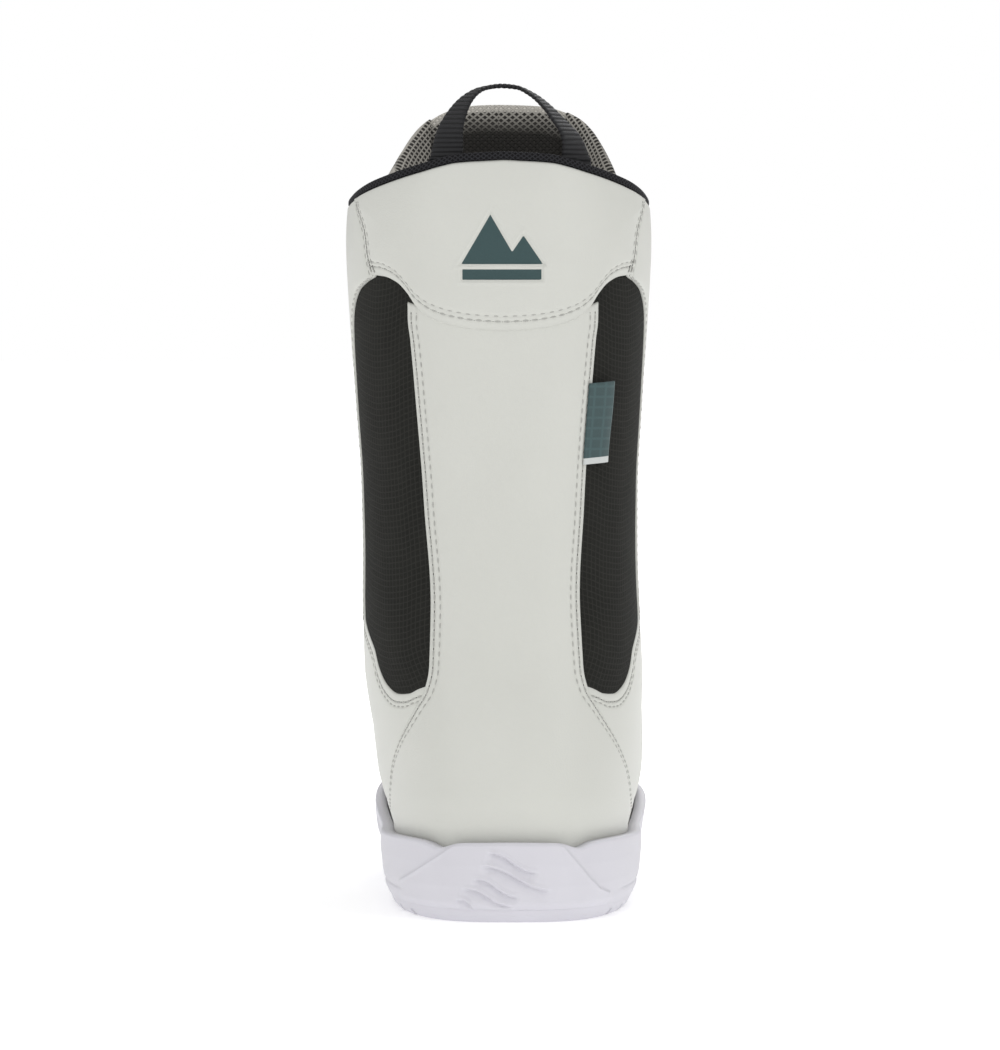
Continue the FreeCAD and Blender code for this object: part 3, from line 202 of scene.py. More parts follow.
PANEL_FOOT = 22.4
SPINE_EDGE = [rear(x, z) for x, z in (
    (45.6, PANEL_FOOT), (46.6, 34), (47.2, 44), (46.2, 55), (43.0, 66), (39.0, 74.5), (35.0, 82), (31.8, 88),
    (29.8, 97), (28.9, 119), (30.9, 157), (33.6, 194), (36.0, 222), (36.9, 229.5), (37.0, 236.5))]
COLLAR_LOW = [rear(x, z) for x, z in (
    (0, 225.2), (10, 225.7), (20, 227.3), (28, 230.2), (33.2, 234.4), (36.8, 239.8), (40.5, 243.8),
    (45.5, 246.2), (50.5, 246.8))]
COLLAR_SIDE = [COLLAR_LOW[-1], rear(52.0, 253.5), rear(53.0, 262.5), (66.0, float(collar_top(66.0)))]
TEXTILE_LOW = [rear(x, z) for x, z in (
    (31.2, 91.5), (34.0, 88.6), (38.0, 86.4), (42.0, 85.8), (46.0, 88.2), (49.2, 94.5), (51.0, 102.5))]
TEXTILE_FRONT = [TEXTILE_LOW[-1], (77, 112), (83, 140), (87, 172), (84, 205), (76, 229)]
TEXTILE_TOP = [rear(x, z) for x, z in (
    (37.0, 236.5), (38.6, 240.2), (42.0, 243.4), (46.5, 244.6), (51.0, 243.8), (54.8, 240.0))] + [(76, 229)]
TEXTILE_BACK = [TEXTILE_LOW[0]] + [p for p in SPINE_EDGE if 93 < p[1] < 229] + [TEXTILE_TOP[0]]
THROAT_CORNER = (throat(96), 96)
VAMP_SEAM = [(90, PANEL_FOOT), (92, 34), (97, 48), (106, 62), (118, 75), (129, 83.5), (143, 90.5),
             THROAT_CORNER]
FLAP_LOW = [(80, 110), (95, 113), (115, 119), (throat(127), 127)]


# ---------------------------------------------------------------- patches
def chord_curve(points):
    """A function of 0 to 1 that runs through points at even speed."""
    points = np.array(points, float)
    way = np.concatenate([[0.0], np.cumsum(np.hypot(*np.diff(points, axis=0).T))])
    angle = eased(np.stack([way / way[-1], points[:, 0]], 1))
    height = eased(np.stack([way / way[-1], points[:, 1]], 1))
    return lambda s: np.stack([angle(s), height(s)], -1)


def four_sided(low, right, top, left):
    """The map (1-t) low + t top + (1-s) left + s right, less the bilinear blend of the corners."""
    bottom, end, lid, start = (chord_curve(e) for e in (low, right, top, left))

    def place(s, t):
        s1, t1 = s[..., None], t[..., None]
        across = (1 - t1) * bottom(s) + t1 * lid(s)
        along = (1 - s1) * start(t) + s1 * end(t)
        c00, c10, c01, c11 = bottom(0.0), bottom(1.0), lid(0.0), lid(1.0)
        twist = (1 - s1) * (1 - t1) * c00 + s1 * (1 - t1) * c10 + (1 - s1) * t1 * c01 + s1 * t1 * c11
        found = across + along - twist
        return found[..., 0], found[..., 1]

    return place


def crowded(count, share=0.55):
    """Steps from 0 to 1, closer together at both ends: t - share sin(2 pi t) / 2 pi."""
    t = np.linspace(0, 1, count + 1)
    return t - share * np.sin(2 * np.pi * t) / (2 * np.pi)


def run_lengths(points):
    """Distance along the first axis of a grid, from its start."""
    steps = np.linalg.norm(np.diff(points, axis=0), axis=-1)
    return np.concatenate([np.zeros((1,) + steps.shape[1:]), np.cumsum(steps, axis=0)])


class Patch:
    """A grid over four sides of the body, with each point's distance to each side in millimetres."""

    def __init__(self, low, right, top, left, columns, rows, out=0.0, share=0.55):
        s, t = np.meshgrid(crowded(columns, share), crowded(rows, share), indexing="ij")
        self.phi, self.z = four_sided(low, right, top, left)(s, t)
        self.base = out
        flat = body(self.phi, self.z, out)
        self.left = run_lengths(flat)
        self.right = self.left[-1:] - self.left
        self.low = run_lengths(flat.swapaxes(0, 1)).swapaxes(0, 1)
        self.top = self.low[:, -1:] - self.low

    def nearest(self, sides=("left", "right", "low", "top")):
        return np.min([getattr(self, side) for side in sides], axis=0)

    def line(self, side, distance):
        """The points of the patch that stand at a distance from one side, as (phi, z) rows."""
        away = getattr(self, side)
        along_s = side in ("left", "right")
        phi, z = (self.phi, self.z) if along_s else (self.phi.T, self.z.T)
        away = away if along_s else away.T
        if side in ("right", "top"):
            phi, z, away = phi[::-1], z[::-1], away[::-1]
        i = np.clip((away < distance).sum(axis=0) - 1, 0, away.shape[0] - 2)
        k = np.arange(away.shape[1])
        w = (distance - away[i, k]) / np.maximum(away[i + 1, k] - away[i, k], 1e-9)
        return np.stack([phi[i, k] * (1 - w) + phi[i + 1, k] * w, z[i, k] * (1 - w) + z[i + 1, k] * w], 1)


# ---------------------------------------------------------------- meshes
def grid_faces(a, b, start=0):
    i, j = np.meshgrid(np.arange(a - 1), np.arange(b - 1), indexing="ij")
    first = (start + i * b + j).ravel()
    return np.stack([first, first + b, first + b + 1, first + 1], 1)


def ring_faces(a, b):
    """The quads between a rings of b points each, closed round each ring."""
    i, j = np.meshgrid(np.arange(a - 1), np.arange(b), indexing="ij")
    here, beside = i * b + j, i * b + (j + 1) % b
    return np.stack([here, beside, beside + b, here + b], -1).reshape(-1, 4)


def shell_faces(a, b):
    """The faces of a closed slab of two a by b grids, the outer one first."""
    n = a * b
    index = np.arange(n).reshape(a, b)
    faces = [grid_faces(a, b), grid_faces(a, b, n)[:, ::-1]]
    for rim in (index[0], index[-1][::-1], index[:, 0][::-1], index[:, -1]):
        faces.append(np.stack([rim[:-1], rim[1:], rim[1:] + n, rim[:-1] + n], 1))
    return np.concatenate(faces)


def twice(values):
    """The same values for a slab's outer grid and its inner one."""
    return np.concatenate([values, values])


def slab_mesh(name, outer, inner, uv=None, masks=None, merge=0.0):
    """A closed slab from its outer and inner grids of points."""
    points = np.concatenate([outer.reshape(-1, 3), inner.reshape(-1, 3)])
    uv = twice(uv.reshape(-1, 2)) if uv is not None else None
    doubled = {key: twice(np.broadcast_to(v, outer.shape[:2]).ravel()) for key, v in (masks or {}).items()}
    return make_mesh(name, points, shell_faces(*outer.shape[:2]), uv, doubled, merge)


def make_mesh(name, points, faces, uv=None, masks=None, merge=0.0):
    """A mesh object from points in millimetres, quads or triangles, and values kept at its points."""
    corners = points[faces[:, :3]]
    volume = np.einsum("ij,ij->i", corners[:, 0], np.cross(corners[:, 1], corners[:, 2])).sum()
    if faces.shape[1] == 4:
        corners = points[faces[:, [0, 2, 3]]]
        volume += np.einsum("ij,ij->i", corners[:, 0], np.cross(corners[:, 1], corners[:, 2])).sum()
    if volume < 0:
        faces = faces[:, ::-1]
    mesh = bpy.data.meshes.new(name)
    mesh.from_pydata((points * MM).tolist(), [], faces.tolist())
    if uv is not None:
        layer = mesh.uv_layers.new(name="UVMap")
        index = np.empty(len(mesh.loops), int)
        mesh.loops.foreach_get("vertex_index", index)
        layer.data.foreach_set("uv", (uv[index] * MM).astype(np.float32).ravel())
    for key, values in (masks or {}).items():
        layer = mesh.attributes.new(key, "FLOAT", "POINT")
        layer.data.foreach_set("value", np.ascontiguousarray(values, np.float32).ravel())
    if merge:
        work = bmesh.new()
        work.from_mesh(mesh)
        bmesh.ops.remove_doubles(work, verts=work.verts, dist=merge * MM)
        bmesh.ops.dissolve_degenerate(work, dist=merge * MM * 0.5, edges=work.edges)
        work.to_mesh(mesh)
        work.free()
    mesh.polygons.foreach_set("use_smooth", np.ones(len(mesh.polygons), bool))
    mesh.update()
    item = bpy.data.objects.new(name, mesh)
    bpy.context.scene.collection.objects.link(item)
    return item


def dress(item, material):
    item.data.materials.clear()
    item.data.materials.append(material)


def bend_at_ankle(item):
    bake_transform(item)


def bend_at_instep(item):
    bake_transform(item)


def slab_object(name, patch, out, thick, masks=None):
    """A closed piece whose outer face stands out from the body by a grid of distances."""
    outer = body(patch.phi, patch.z, out)
    inner = body(patch.phi, patch.z, patch.base - thick)
    uv = np.stack([patch.left - patch.left[-1:] / 2, patch.low], -1)
    return slab_mesh(name, outer, inner, uv, masks)


def leather_profile(patch, puff, rows, reach=PUFF_REACH, drop=0.55, turn=0.9):
    """The distance out of a leather panel: base + puff (1 - e^(-d/reach)), rounded down at its edges,
    less a furrow e^(-((d - row) / 0.6)^2) under each row of stitches."""
    near = patch.nearest()
    corner = np.clip(1 - near / turn, 0, 1)
    out = patch.base + puff * (1 - np.exp(-near / reach)) - drop * (1 - np.sqrt(1 - corner ** 2))
    for side, distance in rows:
        out = out - FURROW * np.exp(-((getattr(patch, side) - distance) / 0.6) ** 2)
    # the edge mask carries the painted shade along the panel's edge and its rougher finish
    return out, {"edge": np.exp(-near / 0.7)}


def stitch_line(lines, lifts, pitch, length, width):
    """One stitch at every pitch along lines of (phi, z): a capsule along the line, whose section is a
    circle that shrinks to its ends as sqrt(1 - u^2), and a small needle hole between it and the
    next, which is a shorter, wider and flatter one, coloured near black as painted shade in the hole.
    Returns points, faces and which are holes."""
    turns, rings = 6, 5
    u = np.linspace(-1, 1, rings)
    ring = np.linspace(0, 2 * np.pi, turns, endpoint=False)
    quads = ring_faces(rings, turns)
    cap = np.array([[0, 1, 2, 3], [3, 4, 5, 0]])
    each = np.concatenate([quads, cap[:, ::-1], cap + (rings - 1) * turns])
    points, faces, holes, count = [], [], [], 0
    for line, lift in zip(lines, lifts):
        way = body(line[:, 0], line[:, 1], lift)
        high = body(line[:, 0], line[:, 1], lift + 1.0)
        run = np.concatenate([[0], np.cumsum(np.linalg.norm(np.diff(way, axis=0), axis=1))])
        for hole in (0.0, 1.0):
            places = np.arange(pitch * (0.7 + 0.5 * hole), run[-1] - pitch * 0.6, pitch)
            if len(places) < 2:
                continue
            long, wide, flat, sunk = (length, width, 1.0, 0.0) if hole == 0 else (1.1, width * 1.1, 0.3, 0.02)
            at = np.stack([np.interp(places, run, way[:, k]) for k in range(3)], 1)
            ahead = np.stack([np.interp(places + 0.4, run, way[:, k]) for k in range(3)], 1)
            normal = np.stack([np.interp(places, run, (high - way)[:, k]) for k in range(3)], 1)
            along = ahead - at
            along /= np.linalg.norm(along, axis=1, keepdims=True)
            side = np.cross(along, normal)
            side /= np.linalg.norm(side, axis=1, keepdims=True)
            radius = np.sqrt(np.clip(1 - (u * 0.96) ** 2, 0, 1)) * wide / 2
            arch = (1 - u ** 2) * 0.2 * (1 - hole) - 0.1 - sunk
            across = radius[:, None] * np.cos(ring)
            rise = arch[:, None] + flat * radius[:, None] * np.sin(ring)
            made = (at[:, None, None] + along[:, None, None] * (u * long / 2)[None, :, None, None]
                    + side[:, None, None] * across[None, :, :, None]
                    + normal[:, None, None] * rise[None, :, :, None])
            offsets = count + np.arange(len(at)) * rings * turns
            faces.append((each[None] + offsets[:, None, None]).reshape(-1, 4))
            points.append(made.reshape(-1, 3))
            holes.append(np.full(len(at) * rings * turns, hole))
            count += len(at) * rings * turns
    return np.concatenate(points), np.concatenate(faces), np.concatenate(holes)


def stitches(name, lines, lifts):
    sizes = bpy.context.scene.boot_sizes
    points, faces, holes = stitch_line(lines, lifts, sizes.stitch_pitch / MM, sizes.stitch_length / MM,
                                       STITCH_WIDTH)
    item = make_mesh(name, points, faces, masks={"hole": holes})
    dress(item, thread_material())
    return item


# ---------------------------------------------------------------- sizes and colours a user may change
def colour_property(name, text, value):
    return bpy.props.FloatVectorProperty(name=name, description=text, default=value,
                                         subtype="COLOR", size=3, min=0, max=1)


def length_property(name, text, value):
    return bpy.props.FloatProperty(name=name, description=text, default=value, unit="LENGTH",
                                   min=0.0, precision=4)


class BootColours(bpy.types.PropertyGroup):
    leather: colour_property("Leather", "Synthetic leather panels", (0.665, 0.67, 0.625))
    thread: colour_property("Thread", "Stitching", (0.50, 0.50, 0.47))
    ripstop: colour_property("Ripstop", "Side panels", (0.017, 0.017, 0.015))
    webbing: colour_property("Webbing", "Pull loop and knit edging", (0.007, 0.007, 0.008))
    mesh_light: colour_property("Mesh", "Face yarn of the spacer mesh", (0.46, 0.44, 0.40))
    mesh_dark: colour_property("Mesh ground", "Spacer mesh, seen in its holes", (0.035, 0.033, 0.030))
    sole: colour_property("Sole", "Rubber and foam of the sole", (0.70, 0.69, 0.74))
    teal: colour_property("Teal", "Mark on the collar and side label", (0.036, 0.075, 0.078))
    plastic: colour_property("Plastic", "Dial and lace guides", (0.02, 0.02, 0.022))


class BootSizes(bpy.types.PropertyGroup):
    stitch_pitch: length_property("Stitch pitch", "From one stitch to the next", 0.0036)
    stitch_length: length_property("Stitch length", "Thread seen in each stitch", 0.0026)
    panel_puff: length_property("Panel fullness", "How far a leather panel swells between its seams", 0.0006)
    collar_puff: length_property("Collar fullness", "How far the padded collar panel swells", 0.0016)
    mesh_width: length_property("Mesh cell width", "Width of a hole in the spacer mesh and a yarn", 0.0021)
    mesh_height: length_property("Mesh cell height", "Height of a hole in the spacer mesh and a yarn", 0.0025)
    rib_pitch: length_property("Webbing rib pitch", "From one rib of the pull loop to the next", 0.0019)
    camera_distance: length_property("Camera distance", "From the camera to the back of the heel", 2.4)


# ---------------------------------------------------------------- materials
class Nodes:
    """A node tree that is filled in a few words."""

    def __init__(self, tree):
        self.tree = tree

    def add(self, kind, **inputs):
        node = self.tree.nodes.new(kind)
        for key, value in inputs.items():
            key = key.replace("_", " ")
            if key in node.inputs:
                self.give(node.inputs[key], value)
            else:
                setattr(node, key.replace(" ", "_"), value)
        return node

    def give(self, socket, value):
        if isinstance(value, bpy.types.NodeSocket):
            self.tree.links.new(value, socket)
        else:
            socket.default_value = value

    def math(self, operation, *values):
        node = self.tree.nodes.new("ShaderNodeMath")
        node.operation = operation
        for socket, value in zip(node.inputs, values):
            self.give(socket, value)
        return node.outputs[0]

    def mix(self, factor, first, second):
        node = self.tree.nodes.new("ShaderNodeMix")
        node.data_type = "RGBA"
        self.give(node.inputs["Factor"], factor)
        self.give(node.inputs["A"], (*first, 1) if isinstance(first, tuple) else first)
        self.give(node.inputs["B"], (*second, 1) if isinstance(second, tuple) else second)
        return node.outputs["Result"]

    def span(self, value, low, high, to_low=0.0, to_high=1.0):
        node = self.tree.nodes.new("ShaderNodeMapRange")
        for socket, v in zip(node.inputs, (value, low, high, to_low, to_high)):
            self.give(socket, v)
        return node.outputs[0]


def effect(name, inputs, outputs, fill):
    """A node group made once: fill(nodes, entry) returns a value for each output."""
    if name in bpy.data.node_groups:
        return bpy.data.node_groups[name]
    tree = bpy.data.node_groups.new(name, "ShaderNodeTree")
    for label, kind, value in inputs:
        socket = tree.interface.new_socket(label, in_out="INPUT", socket_type=kind)
        if value is not None:
            socket.default_value = value
    for label, kind in outputs:
        tree.interface.new_socket(label, in_out="OUTPUT", socket_type=kind)
    nodes = Nodes(tree)
    entry = tree.nodes.new("NodeGroupInput")
    leave = tree.nodes.new("NodeGroupOutput")
    for socket, value in zip(leave.inputs, fill(nodes, entry.outputs)):
        tree.links.new(value, socket)
    return tree


FLOAT, VECTOR = "NodeSocketFloat", "NodeSocketVector"


def grain_effect():
    """Fine pebbles and a slow mottle: height = 0.6 pebbles + 0.4 noise, mask = slow noise."""
    def fill(n, entry):
        vector, scale = entry["Vector"], entry["Scale"]
        pebbles = n.add("ShaderNodeTexVoronoi", Vector=vector, Scale=scale)
        fine = n.add("ShaderNodeTexNoise", Vector=vector, Scale=n.math("MULTIPLY", scale, 2.3), Detail=3.0)
        slow = n.add("ShaderNodeTexNoise", Vector=vector, Scale=n.math("MULTIPLY", scale, 0.02), Detail=2.0)
        height = n.math("ADD", n.math("MULTIPLY", pebbles.outputs["Distance"], 0.6),
                        n.math("MULTIPLY", fine.outputs["Fac"], 0.4))
        return height, slow.outputs["Fac"]

    return effect("leather grain", [("Vector", VECTOR, None), ("Scale", FLOAT, 1800.0)],
                  [("Height", FLOAT), ("Mottle", FLOAT)], fill)


def diamond_effect():
    """Two sets of slanting yarns: each is |fract(u/p +- v/q) - 1/2|, and the nearer one wins."""
    def fill(n, entry):
        parts = n.add("ShaderNodeSeparateXYZ", Vector=entry["Vector"])
        u = n.math("DIVIDE", parts.outputs["X"], entry["Width"])
        v = n.math("DIVIDE", parts.outputs["Y"], entry["Height"])
        distances = []
        for operation in ("ADD", "SUBTRACT"):
            place = n.math("FRACT", n.math("ADD", n.math(operation, u, v), 1000.0))
            distances.append(n.math("ABSOLUTE", n.math("SUBTRACT", place, 0.5)))
        near = n.math("MINIMUM", *distances)
        yarn = n.span(near, entry["Yarn"], n.math("MULTIPLY", entry["Yarn"], 0.45))
        twist = n.math("SINE", n.math("MULTIPLY", n.math("ADD", u, n.math("MULTIPLY", v, 3.0)), 12.0))
        height = n.math("ADD", yarn, n.math("MULTIPLY", n.math("MULTIPLY", twist, yarn), 0.12))
        return yarn, height

    inputs = [("Vector", VECTOR, None), ("Width", FLOAT, 0.002), ("Height", FLOAT, 0.002),
              ("Yarn", FLOAT, 0.2)]
    return effect("diamond yarns", inputs, [("Yarn", FLOAT), ("Height", FLOAT)], fill)


def weave_effect():
    """A plain weave of threads with a thicker thread at every few: sin(u) sin(v) and raised lines."""
    def fill(n, entry):
        parts = n.add("ShaderNodeSeparateXYZ", Vector=entry["Vector"])
        turn = n.math("DIVIDE", 2 * math.pi, entry["Thread"])
        u = n.math("MULTIPLY", parts.outputs["X"], turn)
        v = n.math("MULTIPLY", parts.outputs["Y"], turn)
        plain = n.math("MULTIPLY", n.math("SINE", u), n.math("SINE", v))
        lines = []
        for axis in ("X", "Y"):
            place = n.math("DIVIDE", parts.outputs[axis], entry["Check"])
            place = n.math("FRACT", n.math("ADD", place, 1000.0))
            lines.append(n.span(n.math("ABSOLUTE", n.math("SUBTRACT", place, 0.5)), 0.16, 0.06))
        line = n.math("MAXIMUM", *lines)
        return n.math("ADD", n.math("MULTIPLY", plain, 0.35), line), line

    inputs = [("Vector", VECTOR, None), ("Thread", FLOAT, 0.0005), ("Check", FLOAT, 0.0026)]
    return effect("ripstop weave", inputs, [("Height", FLOAT), ("Line", FLOAT)], fill)


def new_material(name):
    """A material with its Principled shader."""
    material = bpy.data.materials.new(name)
    material.use_nodes = True
    return material, Nodes(material.node_tree), material.node_tree.nodes["Principled BSDF"]


def once(build):
    """Makes the material that a function fills, named like the function, the first time it is asked for."""
    def get():
        name = build.__name__.replace("_material", "").replace("_", " ")
        if name not in bpy.data.materials:
            material, nodes, shader = new_material(name)
            build(nodes, shader, bpy.context.scene.boot_colours)
        return bpy.data.materials[name]
    return get


def settle(shader, **values):
    """Gives sockets of a shader the same value all over: specular, roughness, metallic and the like."""
    for key, value in values.items():
        shader.inputs[key.replace("_", " ")].default_value = value


def group_node(nodes, tree, **inputs):
    node = nodes.tree.nodes.new("ShaderNodeGroup")
    node.node_tree = tree
    for key, value in inputs.items():
        nodes.give(node.inputs[key], value)
    return node.outputs


def bump(nodes, shader, height, distance, strength=1.0):
    node = nodes.add("ShaderNodeBump", Height=height, Strength=strength, Distance=distance)
    nodes.give(shader.inputs["Normal"], node.outputs["Normal"])


def coordinates(nodes, kind="Object"):
    return nodes.tree.nodes.new("ShaderNodeTexCoord").outputs[kind]


def mask(nodes, key):
    node = nodes.tree.nodes.new("ShaderNodeAttribute")
    node.attribute_name = key
    return node.outputs["Fac"]


def tinted(colour, share):
    return tuple(min(1.0, c * share) for c in colour)


@once
def leather_material(n, shader, colours):
    """Satin synthetic leather: fine pebbles, a slow mottle, painted shade along the panels' edges where they
    meet their neighbours, and rougher there.
    """
    base = tuple(colours.leather)
    grain = group_node(n, grain_effect(), Vector=coordinates(n), Scale=1500.0)
    mottled = n.mix(grain["Mottle"], tinted(base, 0.965), tinted(base, 1.03))
    # painted shade: up to about a seventh darker within a millimetre or so of each panel's edge
    edge_shaded = n.mix(n.math("MULTIPLY", mask(n, "edge"), 0.38), mottled, tinted(base, 0.62))
    marked = n.mix(n.span(mask(n, "mark"), 0.45, 0.55), edge_shaded, tuple(colours.teal))
    n.give(shader.inputs["Base Color"], marked)
    n.give(shader.inputs["Roughness"], n.math("ADD", n.span(grain["Mottle"], 0.3, 0.7, 0.40, 0.50),
                                              n.math("MULTIPLY", mask(n, "edge"), 0.2)))
    settle(shader, Specular_IOR_Level=0.42)
    bump(n, shader, grain["Height"], 0.00012, 0.55)


@once
def thread_material(n, shader, colours):
    """Twisted thread: a helix of plies along each stitch, and painted shade in the needle holes."""
    base = tuple(colours.thread)
    wave = n.add("ShaderNodeTexWave", Vector=coordinates(n), Scale=900.0, Distortion=2.0)
    ply = n.mix(wave.outputs["Fac"], tinted(base, 0.8), tinted(base, 1.1))
    # painted shade: the needle holes get a near-black tint of the thread
    n.give(shader.inputs["Base Color"], n.mix(mask(n, "hole"), ply, tinted(base, 0.16)))
    settle(shader, Roughness=0.7)
    bump(n, shader, wave.outputs["Fac"], 0.0001, 0.6)


@once
def ripstop_material(n, shader, colours):
    """Black ripstop: a plain weave with raised checks, and dust caught between the threads."""
    base = tuple(colours.ripstop)
    weave = group_node(n, weave_effect(), Vector=coordinates(n, "UV"), Thread=0.00052, Check=0.0023)
    slow = n.add("ShaderNodeTexNoise", Vector=coordinates(n), Scale=60.0, Detail=4.0)
    worn = n.mix(slow.outputs["Fac"], tinted(base, 0.75), tinted(base, 1.5))
    raised = n.math("MULTIPLY", weave["Line"], 0.5)
    n.give(shader.inputs["Base Color"], n.mix(raised, worn, tinted(base, 2.4)))
    settle(shader, Roughness=0.82, Specular_IOR_Level=0.12)
    bump(n, shader, weave["Height"], 0.00016, 0.8)


@once
def knit_material(n, shader, colours):
    """Black knit edging: small slanting loops over a darker ground."""
    base = tuple(colours.webbing)
    yarns = group_node(n, diamond_effect(), Vector=coordinates(n, "UV"), Width=0.0022, Height=0.0019,
                       Yarn=0.24)
    n.give(shader.inputs["Base Color"], n.mix(yarns["Yarn"], tinted(base, 0.5), tinted(base, 4.2)))
    settle(shader, Roughness=0.8, Specular_IOR_Level=0.2)
    bump(n, shader, yarns["Height"], 0.0004, 0.9)


@once
def spacer_mesh_material(n, shader, colours):
    """Spacer mesh: light slanting yarns over dark holes, with painted shade over the tongue's inner face and
    a painted highlight along its top edge.
    """
    sizes = bpy.context.scene.boot_sizes
    yarns = group_node(n, diamond_effect(), Vector=coordinates(n, "UV"), Width=sizes.mesh_width,
                       Height=sizes.mesh_height, Yarn=0.27)
    slow = n.add("ShaderNodeTexNoise", Vector=coordinates(n), Scale=90.0, Detail=3.0)
    light = tuple(colours.mesh_light)
    face = n.mix(slow.outputs["Fac"], tinted(light, 0.85), tinted(light, 1.1))
    # painted shade: the tongue's inner face turns near black from 3 to 12 mm below its top edge, as shade
    # inside the boot's opening
    lining = n.math("MULTIPLY", mask(n, "lining"), n.span(mask(n, "below_top"), 3.0, 12.0))
    face = n.mix(lining, face, tinted(light, 0.07))
    # painted highlight: the tongue's top edge is lightened within 3 mm, where its rolled edge catches the
    # light
    hem = n.math("MULTIPLY", mask(n, "hemmed"), n.span(mask(n, "below_top"), 3.0, 2.4))
    n.give(shader.inputs["Base Color"], n.mix(hem, n.mix(yarns["Yarn"], tuple(colours.mesh_dark), face),
                                              tinted(light, 1.25)))
    settle(shader, Roughness=0.85, Specular_IOR_Level=0.15)
    bump(n, shader, yarns["Height"], 0.0008, 1.0)


@once
def webbing_material(n, shader, colours):
    """Ribbed webbing: ribs across its length, |sin|, with fine threads along it."""
    sizes = bpy.context.scene.boot_sizes
    base = tuple(colours.webbing)
    parts = n.add("ShaderNodeSeparateXYZ", Vector=coordinates(n, "UV"))
    rib = n.math("SINE", n.math("MULTIPLY", parts.outputs["X"], math.pi / sizes.rib_pitch))
    rib = n.math("ABSOLUTE", rib)
    threads = n.math("SINE", n.math("MULTIPLY", parts.outputs["Y"], 2 * math.pi / 0.0005))
    height = n.math("ADD", rib, n.math("MULTIPLY", threads, 0.12))
    n.give(shader.inputs["Base Color"], n.mix(rib, tinted(base, 0.6), tinted(base, 2.2)))
    n.give(shader.inputs["Roughness"], n.span(rib, 0.0, 1.0, 0.75, 0.5))
    settle(shader, Specular_IOR_Level=0.3)
    bump(n, shader, height, 0.0004, 0.8)


@once
def sole_rubber_material(n, shader, colours):
    """Moulded rubber: fine spark texture, faint flow marks and scuffs."""
    base = tuple(colours.sole)
    fine = n.add("ShaderNodeTexNoise", Vector=coordinates(n), Scale=1400.0, Detail=4.0)
    slow = n.add("ShaderNodeTexNoise", Vector=coordinates(n), Scale=40.0, Detail=5.0, Roughness=0.6)
    n.give(shader.inputs["Base Color"], n.mix(slow.outputs["Fac"], tinted(base, 0.96), tinted(base, 1.04)))
    n.give(shader.inputs["Roughness"], n.span(slow.outputs["Fac"], 0.3, 0.7, 0.42, 0.56))
    bump(n, shader, fine.outputs["Fac"], 0.00008, 0.5)


@once
def black_plastic_material(n, shader, colours):
    """Moulded black plastic with a fine spark texture."""
    base = tuple(colours.plastic)
    fine = n.add("ShaderNodeTexNoise", Vector=coordinates(n), Scale=1800.0, Detail=3.0)
    slow = n.add("ShaderNodeTexNoise", Vector=coordinates(n), Scale=70.0, Detail=4.0)
    n.give(shader.inputs["Base Color"], n.mix(slow.outputs["Fac"], tinted(base, 0.85), tinted(base, 1.3)))
    n.give(shader.inputs["Roughness"], n.span(slow.outputs["Fac"], 0.3, 0.7, 0.36, 0.5))
    bump(n, shader, fine.outputs["Fac"], 0.00006, 0.5)


@once
def grip_rubber_material(n, shader, colours):
    """Soft black rubber with dust in its hollows."""
    base = tuple(colours.plastic)
    fine = n.add("ShaderNodeTexNoise", Vector=coordinates(n), Scale=900.0, Detail=4.0)
    n.give(shader.inputs["Base Color"], n.mix(fine.outputs["Fac"], tinted(base, 0.9), tinted(base, 1.6)))
    settle(shader, Roughness=0.72)
    bump(n, shader, fine.outputs["Fac"], 0.0001, 0.6)


@once
def steel_lace_material(n, shader, colours):
    """A coated cable of twisted strands: sin(7 turn + length / pitch)."""
    parts = n.add("ShaderNodeSeparateXYZ", Vector=coordinates(n, "UV"))
    angle = n.math("MULTIPLY", parts.outputs["Y"], 2 * math.pi * 6 / 0.00408)
    along = n.math("MULTIPLY", parts.outputs["X"], 2 * math.pi / 0.0012)
    strand = n.math("SINE", n.math("ADD", angle, along))
    height = n.span(strand, -1.0, 1.0)
    n.give(shader.inputs["Base Color"], n.mix(height, (0.05, 0.05, 0.055), (0.42, 0.43, 0.45)))
    n.give(shader.inputs["Roughness"], n.span(height, 0.0, 1.0, 0.6, 0.28))
    settle(shader, Metallic=0.85)
    bump(n, shader, height, 0.00015, 0.9)


@once
def pressed_board_material(n, shader, colours):
    """Grey pressed board and fleece lining."""
    fibre = n.add("ShaderNodeTexNoise", Vector=coordinates(n), Scale=700.0, Detail=6.0, Roughness=0.7)
    n.give(shader.inputs["Base Color"], n.mix(fibre.outputs["Fac"], (0.05, 0.05, 0.052), (0.16, 0.16, 0.165)))
    settle(shader, Roughness=0.9)
    bump(n, shader, fibre.outputs["Fac"], 0.0002, 0.7)


@once
def label_material(n, shader, colours):
    """Woven satin label with a white hem at its lower end."""
    weave = group_node(n, weave_effect(), Vector=coordinates(n, "UV"), Thread=0.0004, Check=0.004)
    hem = n.span(mask(n, "hem"), 0.45, 0.55)
    cloth = n.mix(weave["Height"], tinted(tuple(colours.teal), 0.9), tinted(tuple(colours.teal), 1.25))
    n.give(shader.inputs["Base Color"], n.mix(hem, cloth, (0.62, 0.64, 0.63)))
    settle(shader, Roughness=0.55, Sheen_Weight=0.2)
    bump(n, shader, weave["Height"], 0.00008, 0.6)


@once
def steel_material(n, shader, colours):
    """Brushed spring steel."""
    brushed = n.add("ShaderNodeTexNoise", Vector=coordinates(n), Scale=600.0, Detail=5.0)
    n.give(shader.inputs["Base Color"], n.mix(brushed.outputs["Fac"], (0.45, 0.45, 0.46), (0.62, 0.62, 0.64)))
    settle(shader, Metallic=1.0)
    n.give(shader.inputs["Roughness"], n.span(brushed.outputs["Fac"], 0.3, 0.7, 0.3, 0.42))


